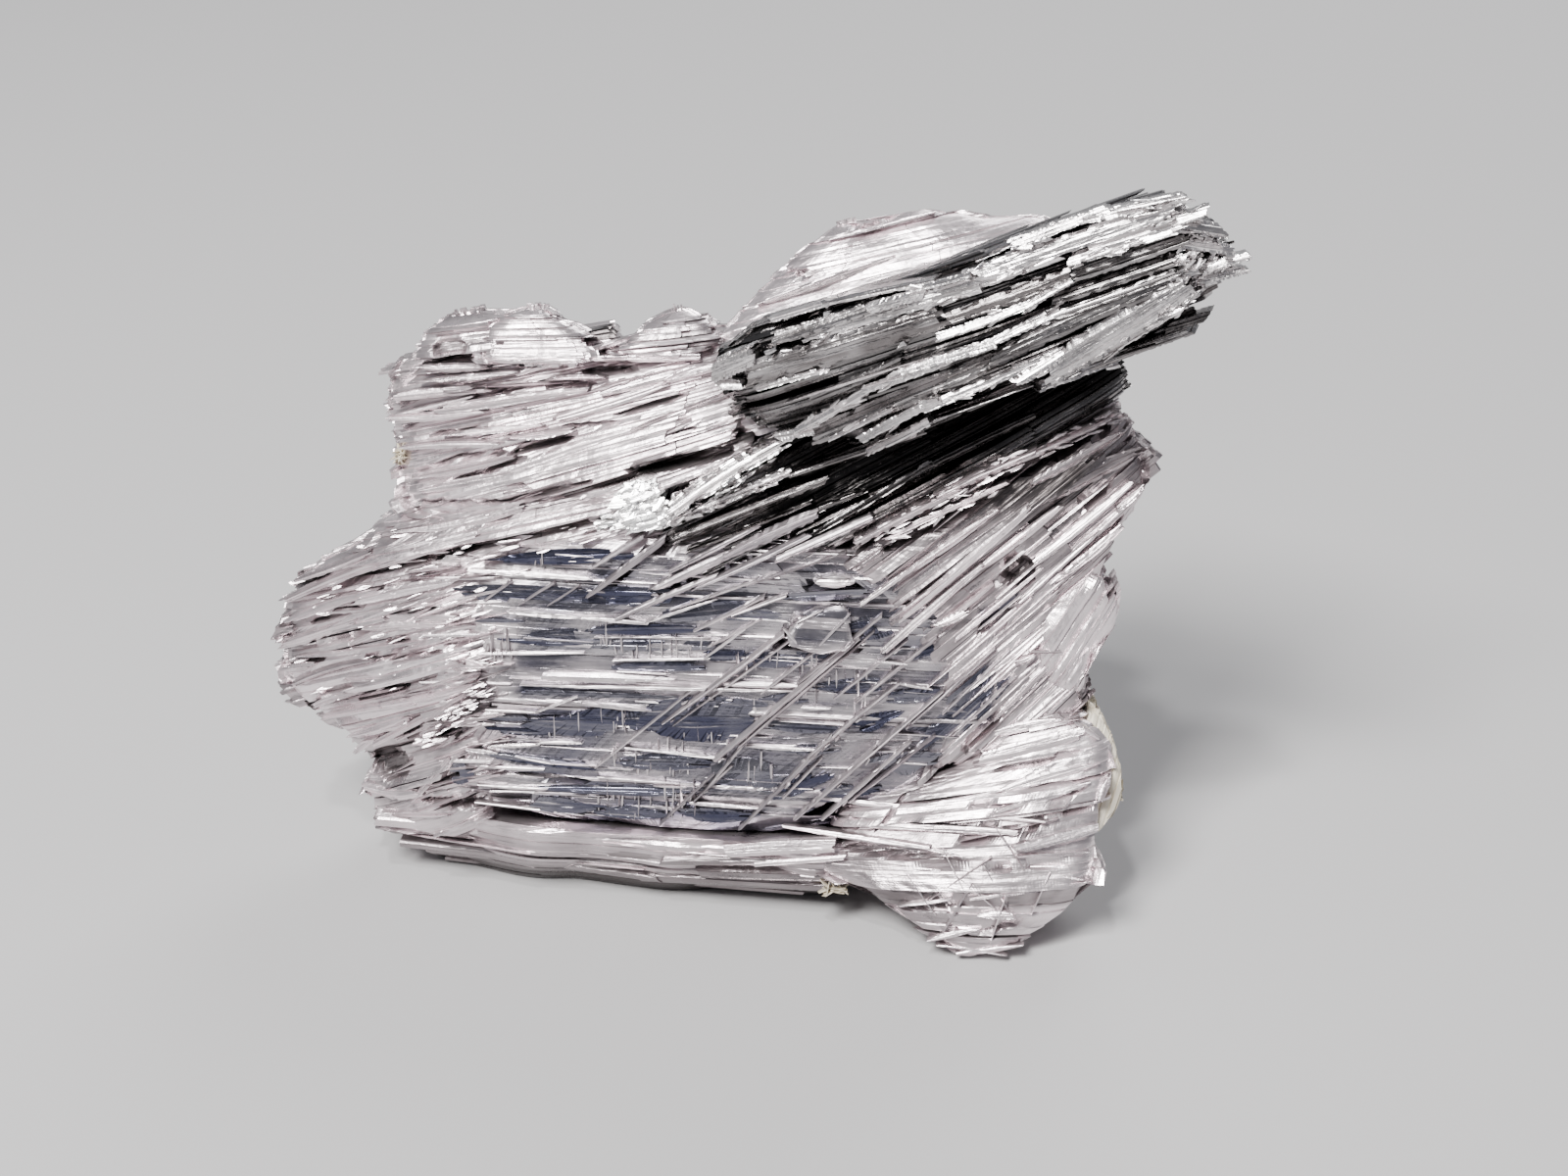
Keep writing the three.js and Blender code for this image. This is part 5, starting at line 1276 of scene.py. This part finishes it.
# Laths of the bundle's lower flank, painted dark as shade.
DARK_LATHS = [
    (9.0, 17.0, 12.5, 18.35, 0.5, 0.3, 22), (9.0, 17.4, 12.6, 18.7, 0.4, 0.35, 4),
    (7.5, 15.9, 12.0, 18.0, 0.45, 0.5, 4), (3.0, 13.55, 7.6, 15.8, 0.3, 0.55, 2),
    (2.9, 14.6, 5.2, 15.75, 0.35, 0.35, -4), (12.0, 16.6, 13.0, 16.95, 0.2, 0.3, 20),
    (11.0, 15.8, 12.6, 16.5, 0.0, 0.3, 4), (9.4, 18.0, 12.2, 19.0, 0.5, 0.35, 12),
    (6.4, 15.3, 9.8, 16.9, 0.4, 0.4, 0)]
TOP_LATHS = [
    (1.9, 16.5, 4.6, 17.3, -0.4, 0.5, 66), (4.2, 17.1, 7.4, 18.4, -0.5, 0.5, 62),
    (7.0, 18.2, 10.2, 19.6, -0.5, 0.5, 66), (1.8, 16.45, 5.4, 17.5, -1.0, 0.45, 72),
    (5.0, 17.4, 9.2, 19.2, -1.0, 0.5, 70), (8.6, 18.9, 11.6, 19.85, -0.9, 0.5, 74),
    (2.2, 16.5, 4.4, 17.15, -1.55, 0.45, 78), (4.0, 17.0, 7.8, 18.55, -1.6, 0.5, 80),
    (7.4, 18.4, 11.2, 19.85, -1.5, 0.45, 76), (1.9, 16.4, 5.6, 17.5, -2.1, 0.45, 86),
    (5.2, 17.4, 8.4, 18.85, -2.15, 0.4, 84), (8.0, 18.6, 11.4, 19.75, -2.0, 0.45, 88)]
joined("raised_bundle", [
    sheaf(bundle_plan, seed=91, laths=36, stations=60, thick=2.6, ledge=0.15, stria=0.05, drop=0.3,
          ragged=0.2, breaks=0.8, groove=0.4, hidden=0.65, rounding=0.9, own_tilt=10),
    strands(laid(bundle_front, BUNDLE_LATHS), seed=92, lines=5, stations=48, depth=0.9, stria=0.012,
            chip=0.3, ragged=0.15, roof=0.05, taper=(0.0, 0.25), pale=0.6, spread=0.25, upward=0.028),
    strands(laid(bundle_front, DARK_LATHS), seed=90, lines=6, stations=48, depth=0.9, stria=0.02,
            chip=0.25, ragged=0.15, roof=0.1, taper=(0.0, 0.25), pale=0.35, spread=0.2, hidden=0.5),
    strands(laid(bundle_front, TOP_LATHS, higher_up=0.15), seed=89, lines=5, stations=28, depth=0.5,
            stria=0.03, chip=0.3, ragged=0.3, taper=(0.0, 0.4), pale=0.4, hidden=0.25),
    lath_tips(bundle_plan, lambda x, s: bundle_front(x, s) - 2.9, number=130, seed=38,
              length=(0.4, 1.4), width=(0.1, 0.4), proud=(-0.1, 0.25), taper=(0.0, 0.5), pale=0.5,
              spread=0.25, hidden=0.2),
    strands(scattered(bundle_plan, number=14, seed=93, length=(1.5, 5), width=(0.06, 0.2),
                      lift=(0.25, 0.55), turn=1, tilt=(14, 12)), seed=94, lines=3, stations=32,
            depth=0.6, chip=0.3, stria=0.015, upward=0.03),
    strands(clump((12.4, 18.5, 5.1), (0.75, 0.75, 0.8), number=130, seed=97, width=(0.08, 0.26),
                  length=(0.1, 0.35), tilt=(26, 20)), seed=98, lines=2, stations=4, depth=0.3, chip=0.3,
            pale=0.9, taper=(0.1, 0.8), upward=0.02),
    strands(edge_chips(laid(bundle_front, BUNDLE_LATHS), number=150, seed=95, length=(0.12, 0.5),
                       width=(0.05, 0.2), tilt=(26, 14)), seed=96, lines=2, stations=5, depth=0.25,
            chip=0.5, pale=1.1, taper=(0.1, 0.8)),
], bundle_metal)

# --- Bundle root ---
# The core of the bundle, which joins it to the plate behind, painted dark as shade, with short laths over
# its upper side, also painted dark as shade.
root_plan = plan([
    (1.2, 13.6), (1.8, 15.8), (4.5, 16.9), (7.5, 17.6), (9.5, 17.8), (9.6, 16.2), (7.5, 15.0),
    (4.5, 13.6), (2.2, 12.8)], heading=19, front=bundle_front, lift=-2.2)
ROOT_LATHS = [
    (1.4, 15.2, 4.4, 16.75, -2.7, 0.5, 66), (4.0, 16.6, 8.4, 17.65, -2.7, 0.55, 70),
    (1.6, 15.6, 5.4, 17.0, -3.3, 0.5, 74), (5.0, 16.9, 9.2, 17.75, -3.3, 0.5, 76),
    (1.5, 15.4, 6.6, 17.35, -3.9, 0.5, 80), (6.0, 17.2, 9.4, 17.8, -3.9, 0.45, 80),
    (1.6, 15.6, 4.8, 16.9, -4.5, 0.5, 84), (4.4, 16.8, 9.0, 17.75, -4.5, 0.5, 84),
    (1.8, 15.8, 8.4, 17.7, -5.1, 0.5, 86)]
joined("bundle_root", [
    sheaf(root_plan, seed=99, laths=26, thick=3.6, hidden=0.6, rounding=0.9, ledge=0.2, tilt=12),
    strands(laid(bundle_front, ROOT_LATHS, higher_up=0.24), seed=100, lines=5, stations=24, depth=0.4,
            stria=0.04, chip=0.3, ragged=0.3, taper=(0.0, 0.4), pale=0.3, hidden=0.4),
], bundle_metal)

# --- Lower bundle ---
# Laths on the plate in the bundle's shadow, painted dark as that shadow, with two bright crumbling ones at
# their left end, and the gap under the bundle painted black as its shadow.


def under_bundle(x, s):
    """Share of painted shadow, painted black, in the gap between the bundle and the ridge below it."""
    return 0.85 * np.clip((s - 10.7 - (x - 4.7) * 0.53) / 0.7, 0, 1) * np.clip(x - 1, 0, 1)


band_plan = plan([
    (0.0, 8.9), (2.6, 9.6), (4.7, 10.7), (6.8, 12.0), (8.1, 12.5), (11.0, 13.8), (11.5, 14.6),
    (11.2, 15.6), (8.0, 15.6), (4.0, 14.0), (0.5, 12.6), (-1.0, 11.2), (-1.4, 10.0)],
    heading=28, front=plate_front, fan=-5, lift=-0.1)
CRUMBLED_LATHS = [(-0.85, 11.25, 2.2, 13.15, 0.9, 0.65, 22), (-0.9, 10.9, 2.4, 12.3, 0.5, 0.3, 6)]
# Laths in the bundle's shadow, painted dark as that shade.
LOWER_LATHS = [
    (-0.7, 10.45, 3.4, 12.1, 0.4, 0.3, 14), (-0.4, 10.1, 3.0, 11.5, 0.35, 0.2, 12),
    (0.6, 10.2, 4.4, 11.8, 0.3, 0.25, 10), (3.0, 10.6, 6.2, 12.6, 0.25, 0.25, 8),
    (2.4, 12.2, 6.0, 13.4, 0.4, 0.3, 4), (4.5, 11.6, 9.0, 13.9, 0.25, 0.25, 6),
    (3.6, 12.6, 8.0, 14.4, 0.4, 0.3, 2)]
joined("lower_bundle", [
    sheaf(band_plan, seed=101, laths=34, stations=60, thick=plate_back, ledge=0.15, groove=0.3, tilt=10,
          own_tilt=9, soiled=under_bundle, pale=0.3),
    strands(laid(plate_front, CRUMBLED_LATHS), seed=104, lines=7, stations=40, chip=0.5,
            taper=(0.1, 0.4), depth=1.0, pale=0.85),
    strands(laid(plate_front, LOWER_LATHS), seed=105, lines=5, stations=40, chip=0.4, taper=(0.1, 0.4),
            depth=1.0, pale=0.1, hidden=0.45),
    strands(edge_chips(laid(plate_front, CRUMBLED_LATHS), number=70, seed=109, length=(0.08, 0.3)),
            seed=110, lines=2, stations=5, depth=0.25, chip=0.5, pale=0.95, taper=(0.1, 0.8)),
    strands(scattered(band_plan, number=10, seed=107, length=(2, 6), width=(0.06, 0.2),
                      lift=(0.05, 0.2), turn=2, area=(0, 0.45)), seed=108, stations=28, lines=3,
            pale=0.3, hidden=0.3),
], bundle_metal)

# --- Heel ---
# A thick sheaf of stepped laths along the foot behind the plate, on which the specimen stands.
# Plates that face back are made as those in front, with side=-1 and their heights counted backwards.


def back_strands(made, number, seed, turn, width=(0.1, 0.45), pale=0.6):
    """Small laths scattered over a plate that faces back."""
    rows = scattered(made, number=number, seed=seed, width=width, lift=(0.0, 0.15), turn=turn)
    return strands(rows, seed=seed + 10, side=-1, lines=3, stations=16, roof=0.2, pale=pale)


heel_back = relief([
    (-8, 1, 5.6), (-8, 4.5, 4.6), (-4, 2.5, 6.1), (0, 1, 6.1), (0, 5.4, 4.9), (4, 2.5, 5.7),
    (7, 1, 5.5), (7, 4.5, 4.4)])
heel_plan = plan([
    (-7.9, 1.0), (-8.4, 2.4), (-7.6, 4.0), (-5.0, 5.1), (-1.0, 5.6), (3.5, 5.4), (6.6, 4.4), (7.4, 2.8),
    (6.9, 1.2), (5.0, 0.7), (0.0, 0.85), (-5.0, 0.85)], heading=2, front=heel_back)
joined("heel_laths", [
    sheaf(heel_plan, seed=110, laths=40, side=-1, thick=2.4, ledge=0.16, tilt=8, rounding=0.5,
          groove=0.25, drop=0.2, ragged=0.3),
    back_strands(heel_plan, number=24, seed=120, turn=3),
], wing_metal)

# --- Back laths ---
# Five broad plates of stepped laths that overlap over the back, each in the direction of the laths in
# front of it. Each row is its outline, heading, lift, cant and number of laths.
BACK_LEAVES = [
    ([(-11.6, 4.6), (-12.0, 6.6), (-11.0, 8.6), (-8.0, 10.2), (-3.0, 10.4), (0.6, 9.4), (1.0, 7.0),
      (-3.0, 5.4), (-9.0, 4.0)], 12, 0.35, -4, 44),
    ([(-8.6, 11.2), (-8.6, 14.6), (-6.4, 15.6), (-4.4, 15.6), (-2.6, 14.7), (-0.6, 14.9), (1.4, 14.0),
      (-1.6, 11.6), (-6.0, 10.2)], 12, 0.35, -6, 34),
    ([(-4.6, 6.6), (-1.6, 10.6), (3.0, 13.8), (8.0, 15.2), (10.6, 14.6), (10.9, 12.0), (9.5, 10.0),
      (5.0, 7.4), (-1.0, 5.4)], 26, 0.7, -4, 46),
    ([(1.0, 13.6), (1.6, 16.4), (4.2, 17.9), (8.6, 18.2), (9.8, 16.8), (6.4, 14.6)], 18, 0.5, -6, 28),
    ([(5.6, 1.0), (5.2, 4.4), (7.6, 7.6), (9.6, 8.8), (10.4, 6.8), (10.6, 3.8), (9.4, 0.8), (7.6, 0.2)],
     34, 0.4, -4, 30)]


def behind(x, s):
    """Height of the plate's back, counted backwards."""
    return -plate_back(x, s)


back_leaves = [(plan(outline, heading=heading, front=behind, lift=lift, cant=cant, fan=-6), laths)
               for outline, heading, lift, cant, laths in BACK_LEAVES]
joined("back_laths", [
    *(sheaf(leaf, seed=111 + k, laths=laths, stations=36, side=-1, thick=1.6, ledge=0.14, tilt=9,
            rounding=0.35, groove=0.22, drop=0.2, ragged=0.3, breaks=0.8)
      for k, (leaf, laths) in enumerate(back_leaves)),
    *(back_strands(leaf, number=14, seed=121 + k, turn=4)
      for k, (leaf, laths) in enumerate(back_leaves)),
], wing_metal)

# --- Bundle back ---
# The rear of the raised bundle, where its laths stand free of the plate: a thin sheaf with a few small
# laths over it.
rear_plan = plan([
    (1.6, 15.0), (2.4, 16.6), (6.0, 17.8), (9.6, 19.2), (12.0, 19.4), (13.0, 18.0), (11.6, 16.4),
    (8.4, 15.2), (5.0, 14.0), (2.4, 13.8)], heading=21, front=lambda x, s: 2.6 - bundle_front(x, s))
joined("bundle_back", [
    sheaf(rear_plan, seed=118, laths=26, side=-1, thick=0.8, ledge=0.14, tilt=9, rounding=0.3,
          groove=0.25, drop=0.2, ragged=0.2, pale=0.4),
    back_strands(rear_plan, number=12, seed=119, turn=2, width=(0.1, 0.4), pale=0.5),
], wing_metal)
